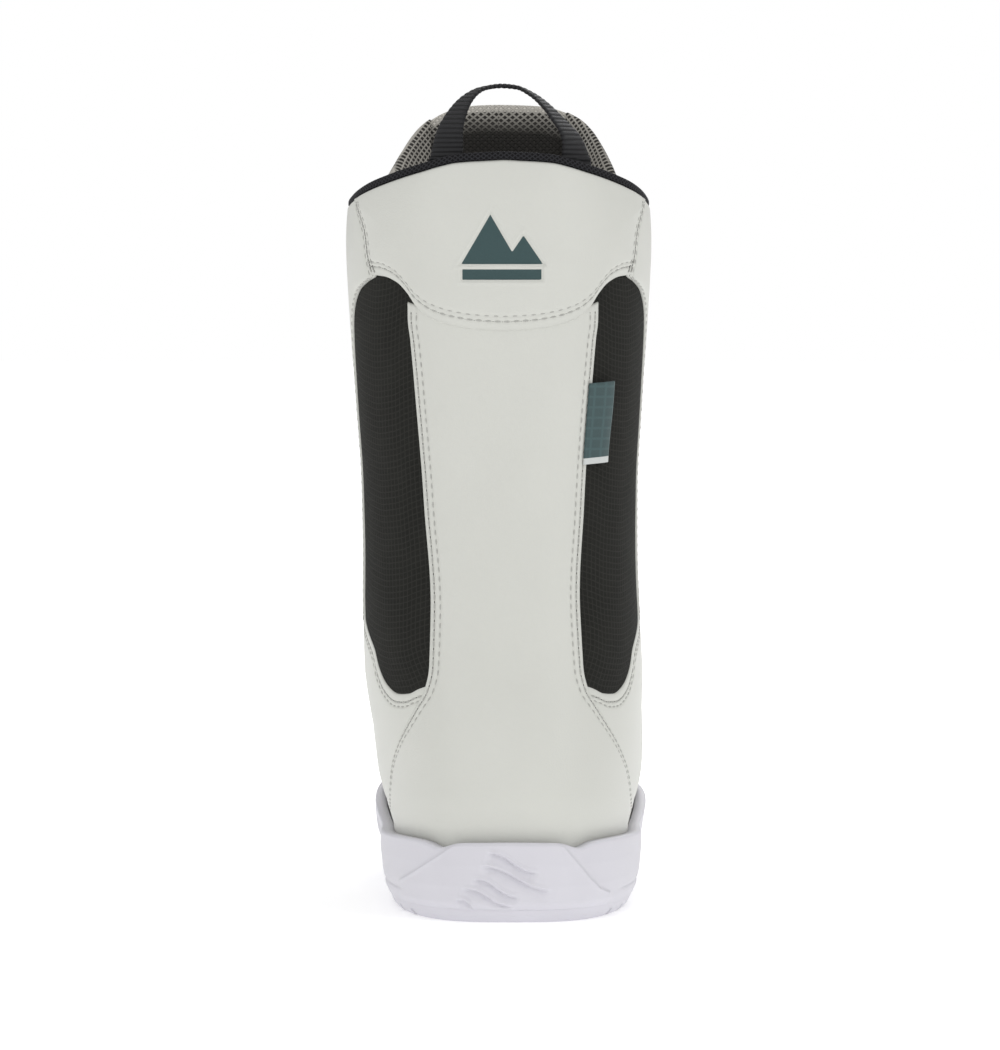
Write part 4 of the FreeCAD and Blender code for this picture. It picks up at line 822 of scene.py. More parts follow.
# ---------------------------------------------------------------- leather panels
def leather_panel(name, sides, size, rows, out=0.0, puff=None, thick=1.3, replaces=(),
                  follow=bend_at_ankle):
    """One leather panel with its rows of stitches. rows are (side, distance) pairs."""
    sizes = bpy.context.scene.boot_sizes
    patch = Patch(*sides, *size, out=out)
    puff = sizes.panel_puff / MM if puff is None else puff
    lifts, masks = leather_profile(patch, puff, rows)
    item = slab_object(name, patch, lifts, thick, masks)
    dress(item, leather_material())
    follow(item)
    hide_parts(*replaces)
    lines = [patch.line(side, distance) for side, distance in rows]
    near = min(distance for _, distance in rows)
    lift = out + puff * (1 - math.exp(-near / PUFF_REACH)) - FURROW + STITCH_LIFT
    follow(stitches(name + "_stitches", lines, [lift] * len(lines)))


def spine_sides():
    top = [(a, z + 3.0) for a, z in COLLAR_LOW if z < 233] + [SPINE_EDGE[-1]]
    low = [(-SPINE_EDGE[0][0], PANEL_FOOT), (0, PANEL_FOOT), SPINE_EDGE[0]]
    return low, SPINE_EDGE, both_sides(top), mirrored(SPINE_EDGE)


class BOOT_OT_spine(bpy.types.Operator):
    """Make the white panel that runs from the collar down the back and round the heel"""
    bl_idname = "boot.spine"
    bl_label = "Spine and heel panel"

    def execute(self, context):
        low, edge, top, left = spine_sides()
        rows = [("left", 2.0), ("left", 4.6), ("right", 2.0), ("right", 4.6)]
        leather_panel("spine_leather", (low, edge, top, left), (150, 260), rows,
                      replaces=("heel_and_spine_panel",))
        return {"FINISHED"}


MARK_CENTRE = (1.2, 257.6)     # from the collar's middle, and its height


def mark_depth(x, z):
    """Signed distance outside a mark of two peaks over a bar, positive inside: the least distance to
    the straight sides of each part, and the greater of the parts."""
    x = x - MARK_CENTRE[0]
    z = z - MARK_CENTRE[1]

    def wedge(cx, base, height, half):
        slope = math.hypot(height, half)
        sides = (height * (half - np.abs(x - cx)) - half * (z - base)) / slope
        return np.minimum(sides, z - base)

    bar = np.minimum(2.0 - np.abs(z + 10.6), 15.0 - np.abs(x))
    tall = wedge(-4.4, -6.6, 19.0, 11.0)
    small = wedge(8.2, -6.6, 11.0, 7.4)
    notch = 0.9 - np.abs((x - 8.2) * 0.83 + (z + 6.6 - 11.0) * 0.55 + 2.4)
    peaks = np.maximum(np.minimum(tall, -notch), small)
    return np.maximum(peaks, bar)


class BOOT_OT_collar(bpy.types.Operator):
    """Make the padded collar panel with its debossed mark"""
    bl_idname = "boot.collar"
    bl_label = "Collar panel"

    def execute(self, context):
        sizes = context.scene.boot_sizes
        rows = [("low", 3.8), ("low", 5.8), ("left", 2.6), ("left", 4.8), ("right", 2.6), ("right", 4.8)]
        sides = (both_sides(COLLAR_LOW), COLLAR_SIDE, both_sides(rim_points(0, 66)), mirrored(COLLAR_SIDE))
        patch = Patch(*sides, 330, 130, out=COLLAR_OUT, share=0.2)
        lifts, masks = leather_profile(patch, sizes.collar_puff / MM, rows, reach=8.0, drop=0.7)
        flat = body(patch.phi, patch.z, COLLAR_OUT)
        depth = mark_depth(flat[..., 0] - centre_line(patch.z), patch.z)
        lifts = lifts - 0.75 * smooth_step((depth + 0.9) / 0.9) + 0.22 * np.exp(-((depth + 1.4) / 0.5) ** 2)
        masks["mark"] = np.clip(depth * 1.2 + 0.5, 0, 1)
        item = slab_object("collar_leather", patch, lifts, 1.3, masks)
        dress(item, leather_material())
        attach(item, "cuff")
        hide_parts("collar_panel")
        lines = [patch.line(side, distance) for side, distance in rows]
        seam = stitches("collar_stitches", lines, [COLLAR_OUT + 0.55 - FURROW + STITCH_LIFT] * len(lines))
        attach(seam, "cuff")
        return {"FINISHED"}


def right_and_left(points, side):
    return [(side * a, z) for a, z in points]


class BOOT_OT_quarters(bpy.types.Operator):
    """Make the quarter panels round the ankle and the sides of the foot"""
    bl_idname = "boot.quarters"
    bl_label = "Quarter panels"

    def execute(self, context):
        for side, hand in ((1, "right"), (-1, "left")):
            top = [(SPINE_EDGE[7][0] - 4.0, SPINE_EDGE[7][1] + 3.0)] + TEXTILE_LOW[1:] + [
                (a, z + 3.0) for a, z in FLAP_LOW]
            back = shifted(SPINE_EDGE[:7], -4.0) + [top[0]]
            front = shifted(VAMP_SEAM[:5], 3.0) + shifted(VAMP_SEAM[5:], 1.0, -2.0) + [
                (throat(108), 108), (FLAP_LOW[-1][0], FLAP_LOW[-1][1] + 3.0)]
            low = [back[0], (75, PANEL_FOOT), front[0]]
            sides = [right_and_left(e, side) for e in (low, front, top, back)]
            rows = [("top", 4.0), ("top", 6.2)]
            leather_panel("quarter_leather_" + hand, sides, (190, 150), rows, out=-0.45,
                          replaces=("quarter_" + hand,))
        return {"FINISHED"}


class BOOT_OT_flaps(bpy.types.Operator):
    """Make the cuff flaps at the sides of the leg"""
    bl_idname = "boot.flaps"
    bl_label = "Cuff flaps"

    def execute(self, context):
        for side, hand in ((1, "right"), (-1, "left")):
            back = [(80, 109)] + TEXTILE_FRONT[2:] + [
                (float(angle_at(55.2, 240.5)), 240.6), (float(angle_at(52.0, 244.0)), 244.2)]
            back += shifted(COLLAR_SIDE[:3], -2.5) + [(64, float(collar_top(64)))]
            front = [(throat(z), z) for z in (126, 150, 180, 210, 240, 262)]
            corner = throat(float(collar_top(146)))
            front.append((corner, float(collar_top(corner))))
            top = rim_points(64, corner)
            low = [(80, 109), (95, 112), (115, 118), (throat(126), 126)]
            sides = [right_and_left(e, side) for e in (low, front, top, back)]
            rows = [("left", 2.0), ("left", 4.4), ("right", 2.4), ("low", 2.2), ("low", 4.6)]
            leather_panel("flap_leather_" + hand, sides, (150, 230), rows, out=-0.15,
                          replaces=("cuff_flap_" + hand,))
        return {"FINISHED"}


class BOOT_OT_vamp(bpy.types.Operator):
    """Make the vamp and the toe cap"""
    bl_idname = "boot.vamp"
    bl_label = "Vamp and toe cap"

    def execute(self, context):
        far = [(360 - a, z) for a, z in VAMP_SEAM]
        top = [VAMP_SEAM[-1], (172, 99.8), (180, 101.5)]
        top += [(360 - a, z) for a, z in top[::-1][1:]]
        low = [(90, PANEL_FOOT), (180, PANEL_FOOT), (270, PANEL_FOOT)]
        rows = [("left", 2.0), ("left", 4.4), ("right", 2.0), ("right", 4.4), ("top", 2.2)]
        leather_panel("vamp_leather", (low, far, top, VAMP_SEAM), (220, 150), rows, replaces=("vamp",))
        side_low = float(rim_height(245)) + 1.0 - 4.0
        mid_low = float(rim_height(275)) + 1.5 - 4.0
        toe_low = [(120, side_low), (150, mid_low), (180, mid_low), (210, mid_low), (240, side_low)]
        toe_top = [(124, 50), (148, 57), (180, 61), (212, 57), (236, 50)]
        sides = (toe_low, [toe_low[-1], toe_top[-1]], toe_top, [toe_low[0], toe_top[0]])
        leather_panel("toe_cap_leather", sides, (200, 70), [("top", 2.0), ("top", 4.2)], out=1.0, thick=0.9,
                      replaces=("toe_cap",))
        return {"FINISHED"}


class BOOT_OT_side_textiles(bpy.types.Operator):
    """Make the black ripstop side panels, tucked under the leather round them"""
    bl_idname = "boot.side_textiles"
    bl_label = "Ripstop panels"

    def execute(self, context):
        tuck = 3.0
        for side, hand in ((1, "right"), (-1, "left")):
            low = shifted(TEXTILE_LOW, 0, -tuck)
            low[0] = (low[0][0] - tuck, low[0][1])
            low[-1] = (low[-1][0] + tuck, low[-1][1] + tuck)
            top = shifted(TEXTILE_TOP, 0, tuck)
            top[0] = (top[0][0] - tuck, top[0][1])
            top[-1] = (top[-1][0] + tuck, top[-1][1])
            front = [low[-1]] + shifted(TEXTILE_FRONT[1:-1], tuck) + [top[-1]]
            back = [low[0]] + shifted(TEXTILE_BACK[1:-1], -tuck) + [top[0]]
            sides = (right_and_left(e, side) for e in (low, front, top, back))
            patch = Patch(*sides, 90, 200, out=TEXTILE_OUT)
            sag = 0.35 * (1 - np.exp(-patch.nearest() / 12.0))
            item = slab_object("side_ripstop_" + hand, patch, TEXTILE_OUT + sag, CLOTH, {"edge": sag})
            dress(item, ripstop_material())
            bend_at_ankle(item)
            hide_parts("side_textile_" + hand)
        return {"FINISHED"}


# ---------------------------------------------------------------- tongue, gussets, boards
def tongue_patch(z_low, z_high, inset, size, out, dome=0.0):
    heights = np.linspace(z_low, z_high, 7)
    right = [(throat(z, inset), z) for z in heights]
    high = right[-1]
    lid = [(high[0] + (180 - high[0]) * share, high[1] + dome * math.sin(share * math.pi / 2))
           for share in (0.0, 0.35, 0.7, 1.0)]
    lid += [(360 - a, z) for a, z in lid[::-1][1:]]
    low = [(right[0][0], z_low), (180, z_low), (360 - right[0][0], z_low)]
    return (low, [(360 - a, z) for a, z in right], lid, right), size, out


class BOOT_OT_tongue(bpy.types.Operator):
    """Make the shell's tongue, its soft foot and the gussets beside it"""
    bl_idname = "boot.tongue"
    bl_label = "Tongue and gussets"

    def execute(self, context):
        sides, size, out = tongue_patch(140.0, 288.0, 3.0, (110, 190), 0.4, 13.0)
        rows = [("left", 2.2), ("right", 2.2), ("top", 2.4)]
        leather_panel("tongue_leather", sides, size, rows, out=out, puff=0.7, follow=bend_at_instep,
                      replaces=("shell_tongue",))
        sides, size, out = tongue_patch(99.0, 148.0, 3.0, (90, 80), -0.4)
        leather_panel("tongue_foot_leather", sides, size, [("left", 2.2), ("right", 2.2)], out=out, puff=0.5,
                      replaces=("tongue_base", "tongue_flex_zone"))
        for side, hand in ((1, "right"), (-1, "left")):
            heights = (108, 130, 160, 200, 240, 262)
            outer_edge = [(side * (throat(z) - 1.6), z) for z in heights]
            inner_edge = [(side * (throat(z, 3.0) + 6.0), z) for z in heights]
            low, top = [outer_edge[0], inner_edge[0]], [outer_edge[-1], inner_edge[-1]]
            patch = Patch(low, inner_edge, top, outer_edge, 16, 120, out=GUSSET_OUT)
            item = slab_object("gusset_cloth_" + hand, patch, GUSSET_OUT, CLOTH, {"edge": 0.0 * patch.left})
            dress(item, ripstop_material())
            reach = (throat_half(200) - 2.0, throat_half(200) - 7.0)
            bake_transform(item)
            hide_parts("gusset_" + hand)
        return {"FINISHED"}


class BOOT_OT_boards(bpy.types.Operator):
    """Make the board and lining behind the panels"""
    bl_idname = "boot.boards"
    bl_label = "Boards"

    def execute(self, context):
        flat = 108.0
        rear_sides = ([(-93, PANEL_FOOT), (0, PANEL_FOOT), (93, PANEL_FOOT)], [(93, PANEL_FOOT), (93, flat)],
                      [(-93, flat), (0, flat), (93, flat)], [(-93, PANEL_FOOT), (-93, flat)])
        edge = [(94, PANEL_FOOT), (94, 60), (94, flat - 2)]
        top = [(94, flat - 2), (120, flat - 2), (140, flat - 4), (162, 101.5), (180, 100.0)]
        top += [(360 - a, z) for a, z in top[::-1][1:]]
        toe_low = [(94, PANEL_FOOT), (180, PANEL_FOOT), (266, PANEL_FOOT)]
        toe_sides = (toe_low, [(360 - a, z) for a, z in edge], top, edge)
        low = [(0, 108.2), (50, 108.2), (90, 110), (118, 117), (throat(124) - 2.5, 124)]
        front = [(throat(z) - 2.5, z) for z in (124, 160, 200, 240, 264)]
        corner = throat(float(collar_top(146))) - 2.5
        front.append((corner, float(collar_top(corner)) - 0.4))
        cuff_sides = (both_sides(low), front, both_sides(rim_points(0, corner, -0.4)), mirrored(front))
        for name, sides, size, node in (("heel_board", rear_sides, (70, 40), "heel_counter"),
                                        ("toe_board", toe_sides, (90, 50), "toe_stiffener"),
                                        ("cuff_board", cuff_sides, (140, 90), "cuff_stiffener")):
            patch = Patch(*sides, *size, out=BOARD_OUT, share=0.0)
            item = slab_object(name, patch, BOARD_OUT, BOARD_THICK)
            dress(item, pressed_board_material())
            bend_at_ankle(item)
            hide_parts(node)
        return {"FINISHED"}


# ---------------------------------------------------------------- collar edging, loop and label
class BOOT_OT_binding(bpy.types.Operator):
    """Make the knit edging that caps the collar"""
    bl_idname = "boot.binding"
    bl_label = "Knit edging"

    def execute(self, context):
        end, steps, round_steps = 141.0, 420, 28
        phi = np.linspace(-end, end, steps + 1)
        turn = np.linspace(0, 2 * np.pi, round_steps + 1)
        fade = np.sqrt(np.clip(1 - np.maximum(0, (np.abs(phi) - end + 3.0) / 3.0) ** 2, 0.02, 1))
        middle_out, middle_up = (-1.6 - 1.0 * smooth_step((np.abs(phi) - 50.0) / 24.0))[:, None], 1.75
        half_out, half_up = 2.3, 1.65
        wide, tall = (np.abs(v) ** 0.75 * np.sign(v) for v in (np.cos(turn), np.sin(turn)))
        out = middle_out + half_out * wide[None, :] * fade[:, None]
        up = middle_up + half_up * tall[None, :] * fade[:, None]
        z = collar_top(np.abs(phi))[:, None] + up
        points = body(np.broadcast_to(phi[:, None], z.shape), z, out)
        length = run_lengths(points[:, :1])
        girth = run_lengths(points.swapaxes(0, 1)).swapaxes(0, 1)
        uv = np.stack([np.broadcast_to(length, z.shape), girth], -1).reshape(-1, 2)
        item = make_mesh("collar_edging", points.reshape(-1, 3), grid_faces(*z.shape), uv, merge=0.02)
        close_ends(item)
        dress(item, knit_material())
        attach(item, "cuff")
        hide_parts("collar_binding")
        return {"FINISHED"}


def close_ends(item):
    """Fills each open ring of a tube and turns every face outwards."""
    work = bmesh.new()
    work.from_mesh(item.data)
    bmesh.ops.holes_fill(work, edges=[e for e in work.edges if e.is_boundary], sides=0)
    bmesh.ops.recalc_face_normals(work, faces=work.faces)
    for face in work.faces:
        face.smooth = True
    work.to_mesh(item.data)
    work.free()
    item.data.update()


LOOP_HINGE_Z = 296.0
LOOP_ARCH = [(-1.03, -6.0), (-1.0, 0.0), (-0.97, 5.6), (-0.84, 13.7), (-0.64, 19.8), (-0.44, 22.4),
             (-0.15, 23.4), (0.08, 22.9), (0.34, 20.0), (0.56, 15.6),
             (0.79, 9.2), (0.95, 4.0), (1.0, 0.0), (1.03, -6.0)]
# how far the webbing is turned from lying along the collar, by the share of its way
LOOP_TURN = [(0.0, 34.0), (0.07, 40.0), (0.18, 54.0), (0.5, 90.0), (0.82, 112.0), (0.93, 126.0), (1.0, 140.0)]
LOOP_WIDTH, LOOP_THICK, LOOP_RIB = 15.0, 1.5, 0.35
LOOP_SHIFT, LOOP_HALF_SPAN, LOOP_OUT, LOOP_FORWARD = 3.4, 26.6, -5.25, 5.0


def webbing_section(count=20):
    """A flat band's section with rounded edges, as (across, thick) from -1 to 1."""
    t = np.linspace(0, 2 * np.pi, count, endpoint=False)
    return (np.sign(np.cos(t)) * np.abs(np.cos(t)) ** 0.35, np.sign(np.sin(t)) * np.abs(np.sin(t)) ** 0.6)


def band(name, middle, along, normal, width, thick, rib):
    """A closed band: middle + across width/2 along + thick/2 (1 + rib) normal, with ribs across it."""
    across, deep = webbing_section()
    run = run_lengths(middle)
    pitch = bpy.context.scene.boot_sizes.rib_pitch / MM
    swell = 1 + rib * (np.abs(np.sin(run * math.pi / pitch)) - 0.5)
    points = (middle[:, None] + along[:, None] * (across * width / 2)[None, :, None]
              + normal[:, None] * (deep[None, :] * (thick / 2 * swell)[:, None])[..., None])
    a, b = points.shape[:2]
    uv = np.stack([np.broadcast_to(run[:, None], (a, b)), np.broadcast_to(across * width / 2, (a, b))], -1)
    item = make_mesh(name, points.reshape(-1, 3), ring_faces(a, b)[:, [0, 3, 2, 1]], uv.reshape(-1, 2))
    close_ends(item)
    return item


class BOOT_OT_pull_loop(bpy.types.Operator):
    """Make the webbing pull loop and its two ends inside the collar"""
    bl_idname = "boot.pull_loop"
    bl_label = "Pull loop"

    def execute(self, context):
        feet = {}
        for side in (-1, 1):
            x = LOOP_SHIFT + side * LOOP_HALF_SPAN
            phi = math.copysign(float(angle_at(abs(x), LOOP_HINGE_Z)), x)
            feet[side] = phi, body(phi, LOOP_HINGE_Z, LOOP_OUT)
        left, right = feet[-1][1], feet[1][1]
        half = (right[0] - left[0]) / 2
        t = np.linspace(0, 1, 170)
        way = chord_curve([(half * share, rise) for share, rise in LOOP_ARCH])(t)
        turn = np.radians(eased(LOOP_TURN)(t))
        y = left[1] + (right[1] - left[1]) * t + LOOP_FORWARD * np.sin(np.pi * t)
        middle = np.stack([(left[0] + right[0]) / 2 + way[:, 0], y, LOOP_HINGE_Z + way[:, 1]], 1)
        along = np.stack([-np.cos(turn), np.sin(turn), 0 * t], 1)
        forward = np.gradient(middle, axis=0)
        normal = np.cross(forward, along)
        normal /= np.linalg.norm(normal, axis=1, keepdims=True)
        item = band("pull_loop_webbing", middle, along, normal, LOOP_WIDTH, LOOP_THICK, LOOP_RIB)
        dress(item, webbing_material())
        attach(item, "pull_loop")
        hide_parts("pull_loop")
        for side, hand in ((1, "right"), (-1, "left")):
            phi = feet[side][0]
            z = np.linspace(262.0, LOOP_HINGE_Z - 4.0, 60)
            middle, ahead, behind = (body(np.full(z.shape, phi + a), z, LOOP_OUT) for a in (0.0, 2.0, -2.0))
            tangent = ahead - behind
            tangent /= np.linalg.norm(tangent, axis=1, keepdims=True)
            flat_turn = np.arctan2(tangent[:, 1], tangent[:, 0])
            along = np.stack([np.cos(flat_turn), np.sin(flat_turn), 0 * flat_turn], 1)
            normal = np.cross(np.gradient(middle, axis=0), along)
            normal /= np.linalg.norm(normal, axis=1, keepdims=True)
            item = band("loop_end_" + hand, middle, along, normal, LOOP_WIDTH, LOOP_THICK, LOOP_RIB)
            dress(item, webbing_material())
            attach(item, "cuff")
            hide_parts("loop_anchor_" + hand)
        return {"FINISHED"}


class BOOT_OT_label(bpy.types.Operator):
    """Make the folded label in the spine panel's right seam"""
    bl_idname = "boot.label"
    bl_label = "Side label"

    def execute(self, context):
        low, high, width = 174.0, 205.2, 10.0
        heights = np.linspace(low, high, 60)
        edge = np.array(SPINE_EDGE)
        seam = np.interp(heights, edge[:, 1], edge[:, 0]) - 2.0
        across = np.linspace(0, 1, 30)
        phi = seam[None, :] + across[:, None] * math.degrees(width / 57.0)
        z = np.broadcast_to(heights, phi.shape) + across[:, None] * 0.8
        rise = 0.25 + 1.5 * np.sin(across * math.pi * 0.62)[:, None] ** 1.4
        rise = rise + 0.25 * np.sin(heights / 6.0)[None, :] * across[:, None]
        thick = 0.75
        outer = body(phi, z, rise + thick)
        inner = body(phi, z, rise)
        uv = np.stack([np.broadcast_to(across[:, None] * width, phi.shape), z - low], -1)
        hem = np.clip((2.4 - (z - low - across[:, None] * 0.8)) * 2 + 0.5, 0, 1)
        item = slab_mesh("label_cloth", outer, inner, uv, {"hem": hem})
        dress(item, label_material())
        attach(item, "cuff")
        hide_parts("side_label")
        return {"FINISHED"}


# ---------------------------------------------------------------- liner
LINER_OUT, LINER_IN = -6.35, -12.65


def liner_skin(item):
    """UVs for a piece of the liner from where its points stand: the angle round the leg and z."""
    mesh = item.data
    layer = mesh.uv_layers[0] if mesh.uv_layers else mesh.uv_layers.new(name="UVMap")
    points = np.empty(len(mesh.vertices) * 3)
    mesh.vertices.foreach_get("co", points)
    points = points.reshape(-1, 3) / MM
    index = np.empty(len(mesh.loops), int)
    mesh.loops.foreach_get("vertex_index", index)
    centre = np.array([-5.0, 42.0])
    angle = np.arctan2(points[:, 0] - centre[0], -(points[:, 1] - centre[1]))[index]
    start = np.empty(len(mesh.polygons), int)
    mesh.polygons.foreach_get("loop_start", start)
    total = np.empty(len(mesh.polygons), int)
    mesh.polygons.foreach_get("loop_total", total)
    first = np.repeat(angle[start], total)
    angle = angle + 2 * np.pi * np.round((first - angle) / (2 * np.pi))
    uv = np.stack([angle * 50.0, points[index, 2]], 1) * MM
    layer.data.foreach_set("uv", uv.astype(np.float32).ravel())


def padded(item, pressure=4.0, cap=1.6):
    """Blows the piece up as a cushion: a cloth under pressure, and a limit on how far a point may move
    from where it started. Its grid is even already, about 4 mm."""
    bpy.context.view_layer.objects.active = item
    count = len(item.data.vertices)
    before = np.empty(count * 3)
    item.data.vertices.foreach_get("co", before)
    cloth = item.modifiers.new("pad", "CLOTH")
    cloth.settings.use_pressure = True
    cloth.settings.uniform_pressure_force = pressure
    cloth.settings.effector_weights.gravity = 0.0
    cloth.settings.quality = 5
    scene = bpy.context.scene
    for step in range(1, 15):
        scene.frame_set(step)
    bpy.ops.object.modifier_apply(modifier=cloth.name)
    scene.frame_set(1)
    after = np.empty(count * 3)
    item.data.vertices.foreach_get("co", after)
    move = (after - before).reshape(-1, 3)
    length = np.linalg.norm(move, axis=1, keepdims=True)
    move *= np.minimum(1.0, cap * MM / np.maximum(length, 1e-9))
    item.data.vertices.foreach_set("co", before + move.ravel())
    item.data.update()


def cushion(name, patch, thick):
    """A closed pad over a patch. Its rim stands half its thickness in and its skin dips towards the
    rim as sqrt(1 - u^2), so that it starts out rounded."""
    near = np.clip(patch.nearest() / (thick * 0.9), 0, 1)
    dip = (1 - np.sqrt(1 - (1 - near) ** 2)) * thick * 0.32
    outer = body(patch.phi, patch.z, patch.base - dip)
    inner = body(patch.phi, patch.z, patch.base - thick + dip)
    points = np.concatenate([outer.reshape(-1, 3), inner.reshape(-1, 3)])
    inside = np.concatenate([np.zeros(near.size), np.ones(near.size)])
    return make_mesh(name, points, shell_faces(*near.shape), masks={
        "inside": inside, "below_top": np.concatenate([patch.top.ravel()] * 2)})


def finish_pad(item):
    level = item.modifiers.new("smooth", "SUBSURF")
    level.levels = level.render_levels = 1
    bpy.context.view_layer.objects.active = item
    bpy.ops.object.modifier_apply(modifier=level.name)
    item.data.polygons.foreach_set("use_smooth", np.ones(len(item.data.polygons), bool))
    liner_skin(item)
    dress(item, spacer_mesh_material())


def liner_edge(angles, side, inset):
    """The liner's top edge on one side. On the wearer's right (side 1) it climbs some 7 degrees sooner."""
    points = []
    for a in angles:
        sooner = 7.5 * smooth_step((a - 104.0) / 16.0) * smooth_step((180.0 - a) / 34.0) if side > 0 else 0.0
        points.append((a, float(liner_top(a + sooner)) - inset))
    return points


class BOOT_OT_liner(bpy.types.Operator):
    """Make the padded liner: foot, cuff and tongue"""
    bl_idname = "boot.liner"
    bl_label = "Liner"

    def execute(self, context):
        inset = 0.8
        cuff_low = [(0, 110.4), (60, 110.4), (90, 113.4), (118, 120.4), (138, 128.6)]
        cuff_angles = (0, 20, 40, 66, 90, 104, 113, 118, 124, 130, 137, 144.0)
        tongue_angles = (141.0, 149, 157, 168, 180)
        right_top = liner_edge(cuff_angles, 1, inset)
        left_top = mirrored(liner_edge(cuff_angles, -1, inset))[::-1]
        right_front = [cuff_low[-1], (141.5, 180), (143.5, 240), right_top[-1]]
        left_front = mirrored(right_front[:-1]) + [left_top[0]]
        cuff = Patch(both_sides(cuff_low), right_front, left_top + right_top[1:], left_front, 110, 60,
                     out=LINER_OUT - inset, share=0.25)
        edge = [(139.5, 129.5), (140.0, 200), (140.8, 250)]
        tongue_right = liner_edge(tongue_angles, 1, inset)
        tongue_left = [(360 - a, z) for a, z in liner_edge(tongue_angles, -1, inset)[::-1]]
        tongue = Patch([edge[0], (180, 129.5), (360 - edge[0][0], 129.5)],
                       [(360 - a, z) for a, z in edge] + [tongue_left[-1]], tongue_right + tongue_left[1:],
                       edge + [tongue_right[0]], 26, 60, out=LINER_OUT - inset, share=0.25)
        thick = LINER_OUT - LINER_IN - 2 * inset
        for name, patch, nodes, follow in (("liner_cuff_pad", cuff, ("liner_cuff",), bend_at_ankle),
                                           ("liner_tongue_pad", tongue, ("liner_tongue",), bend_at_instep)):
            item = cushion(name, patch, thick)
            padded(item)
            finish_pad(item)
            follow(item)
            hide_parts(*nodes)
        mark_lining(item)
        floor = 31.0
        phi = np.linspace(-180, 180, 181)
        lid = np.interp(np.abs(phi), *np.array(cuff_low + [(145, 128.6), (180, 128.8)]).T) - 0.8
        share = np.linspace(0, 1, 60)
        z = floor + (lid[:, None] - floor) * share[None, :]
        wide = np.broadcast_to(phi[:, None], z.shape)
        outer, inner = body(wide, z, LINER_OUT), body(wide, z, LINER_IN)
        item = slab_mesh("liner_foot_pad", outer, inner, merge=0.01)
        drop_seam(item)
        liner_skin(item)
        dress(item, spacer_mesh_material())
        bend_at_ankle(item)
        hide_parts("liner_boot", "liner_toe", "liner_flex_panel", "liner_instep_panel")
        return {"FINISHED"}


def mark_lining(item):
    """Values for the tongue: painted shade over its inner face, and a painted highlight along its top edge.
    """
    mesh = item.data
    inside = np.empty(len(mesh.vertices), np.float32)
    mesh.attributes["inside"].data.foreach_get("value", inside)
    # painted shade for the inner face and a painted highlight for the top edge, kept as point values
    for key, values in (("lining", inside), ("hemmed", np.ones_like(inside))):
        mesh.attributes.new(key, "FLOAT", "POINT").data.foreach_set("value", values)


def drop_seam(item):
    """Removes the wall left inside a ring where its two ends were joined."""
    work = bmesh.new()
    work.from_mesh(item.data)
    doubled = [e for e in work.edges if len(e.link_faces) > 2]
    walls = {f for e in doubled for f in e.link_faces
             if all(len(g.link_faces) > 2 or g in doubled for g in f.edges)}
    seam = [f for f in work.faces if abs(f.normal.x) > 0.9 and f.calc_center_median().y < 0.0
            and all(abs(v.co.x - f.verts[0].co.x) < 1e-4 for v in f.verts)]
    inside = [f for f in set(walls) | set(seam) if any(len(e.link_faces) > 2 for e in f.edges)]
    bmesh.ops.delete(work, geom=inside, context="FACES")
    bmesh.ops.recalc_face_normals(work, faces=work.faces)
    work.to_mesh(item.data)
    work.free()
    item.data.update()


class BOOT_OT_footbed(bpy.types.Operator):
    """Make the footbed: a plate that rises at its edge and under the arch"""
    bl_idname = "boot.footbed"
    bl_label = "Footbed"

    def execute(self, context):
        base, top = 30.3, 34.1
        phi = np.linspace(0, 360, 181)[:-1]
        rings = np.concatenate([np.linspace(0.0, 0.97, 24), [1.0]])
        x, y = plan_ring(phi, base, -14.1)
        cx, cy = spine_point(y)
        k = rings[:, None]
        px, py = cx + (x - cx) * k, cy + (y - cy) * k
        arch = 3.0 * np.exp(-((py - 50.0) / 30.0) ** 2) * smooth_step(-(px + 5.0) / 26.0)
        pz = top - 1.4 + 1.6 * k ** 6 + arch * k ** 2 - 1.2 * (k >= 1.0)
        upper = np.stack([px, py, pz], -1)
        lower = np.stack([x, y, np.full(x.shape, base)], -1)[None]
        bottom = np.stack([cx, cy, np.full(x.shape, base)], -1)[None]
        grid = np.concatenate([upper, lower, bottom])
        item = ring_mesh("footbed_cloth", grid)
        liner_skin(item)
        dress(item, pressed_board_material())
        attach(item, "foot")
        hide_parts("footbed")
        return {"FINISHED"}


# ---------------------------------------------------------------- sole
rim_height = eased([(-6, 30.5), (20, 30.8), (60, 29.5), (112, 28.0), (160, 32.0), (200, 36.0),
                    (240, 38.5), (282, 40.0)])
PLAN_LEVEL = 31.0          # height at which the upper's outline sets the sole's plan
POCKET_FLOOR = 22.0        # height of the cup's floor
# the cup's side: heights, how far out, and how far drawn in under the arch
WALL_LEVELS = (5, 8, 14, 22, 32, 46)
WALL_OUT = np.array((-3.2, -1.9, -0.7, 0, 0, -0.4))
WALL_DRAW = (4.4, 4.6, 3.8, 1.6, 0.0, 0.0)
SOLE_OUT = 5.5
TREAD = 5.0


def plan_ring(phi, shape_z, out, drawn_in=0.0):
    """The body's outline at a height, moved out in plan along its normal, less the drawing in under
    the arch, which eases in from 75 to 125 mm forward of the heel."""
    x1, y1 = outline(phi + 0.5, shape_z)
    x0, y0 = outline(phi - 0.5, shape_z)
    x, y = outline(phi, shape_z)
    length = np.hypot(x1 - x0, y1 - y0)
    out = out - drawn_in * smooth_step((y + BACK - 75.0) / 50.0)
    return x + (y1 - y0) / length * out, y - (x1 - x0) / length * out


def spine_point(y):
    """The point of the foot's middle line nearest to a point of its outline, by its distance forward."""
    middle = np.clip(y, -8.0, 178.0)
    return -3.0 * smooth_step((middle - 120.0) / 60.0), middle


def ring_mesh(name, grid):
    """A closed mesh from rings of points whose first and last rings lie on the middle line."""
    return make_mesh(name, grid.reshape(-1, 3), ring_faces(*grid.shape[:2]), merge=0.004)


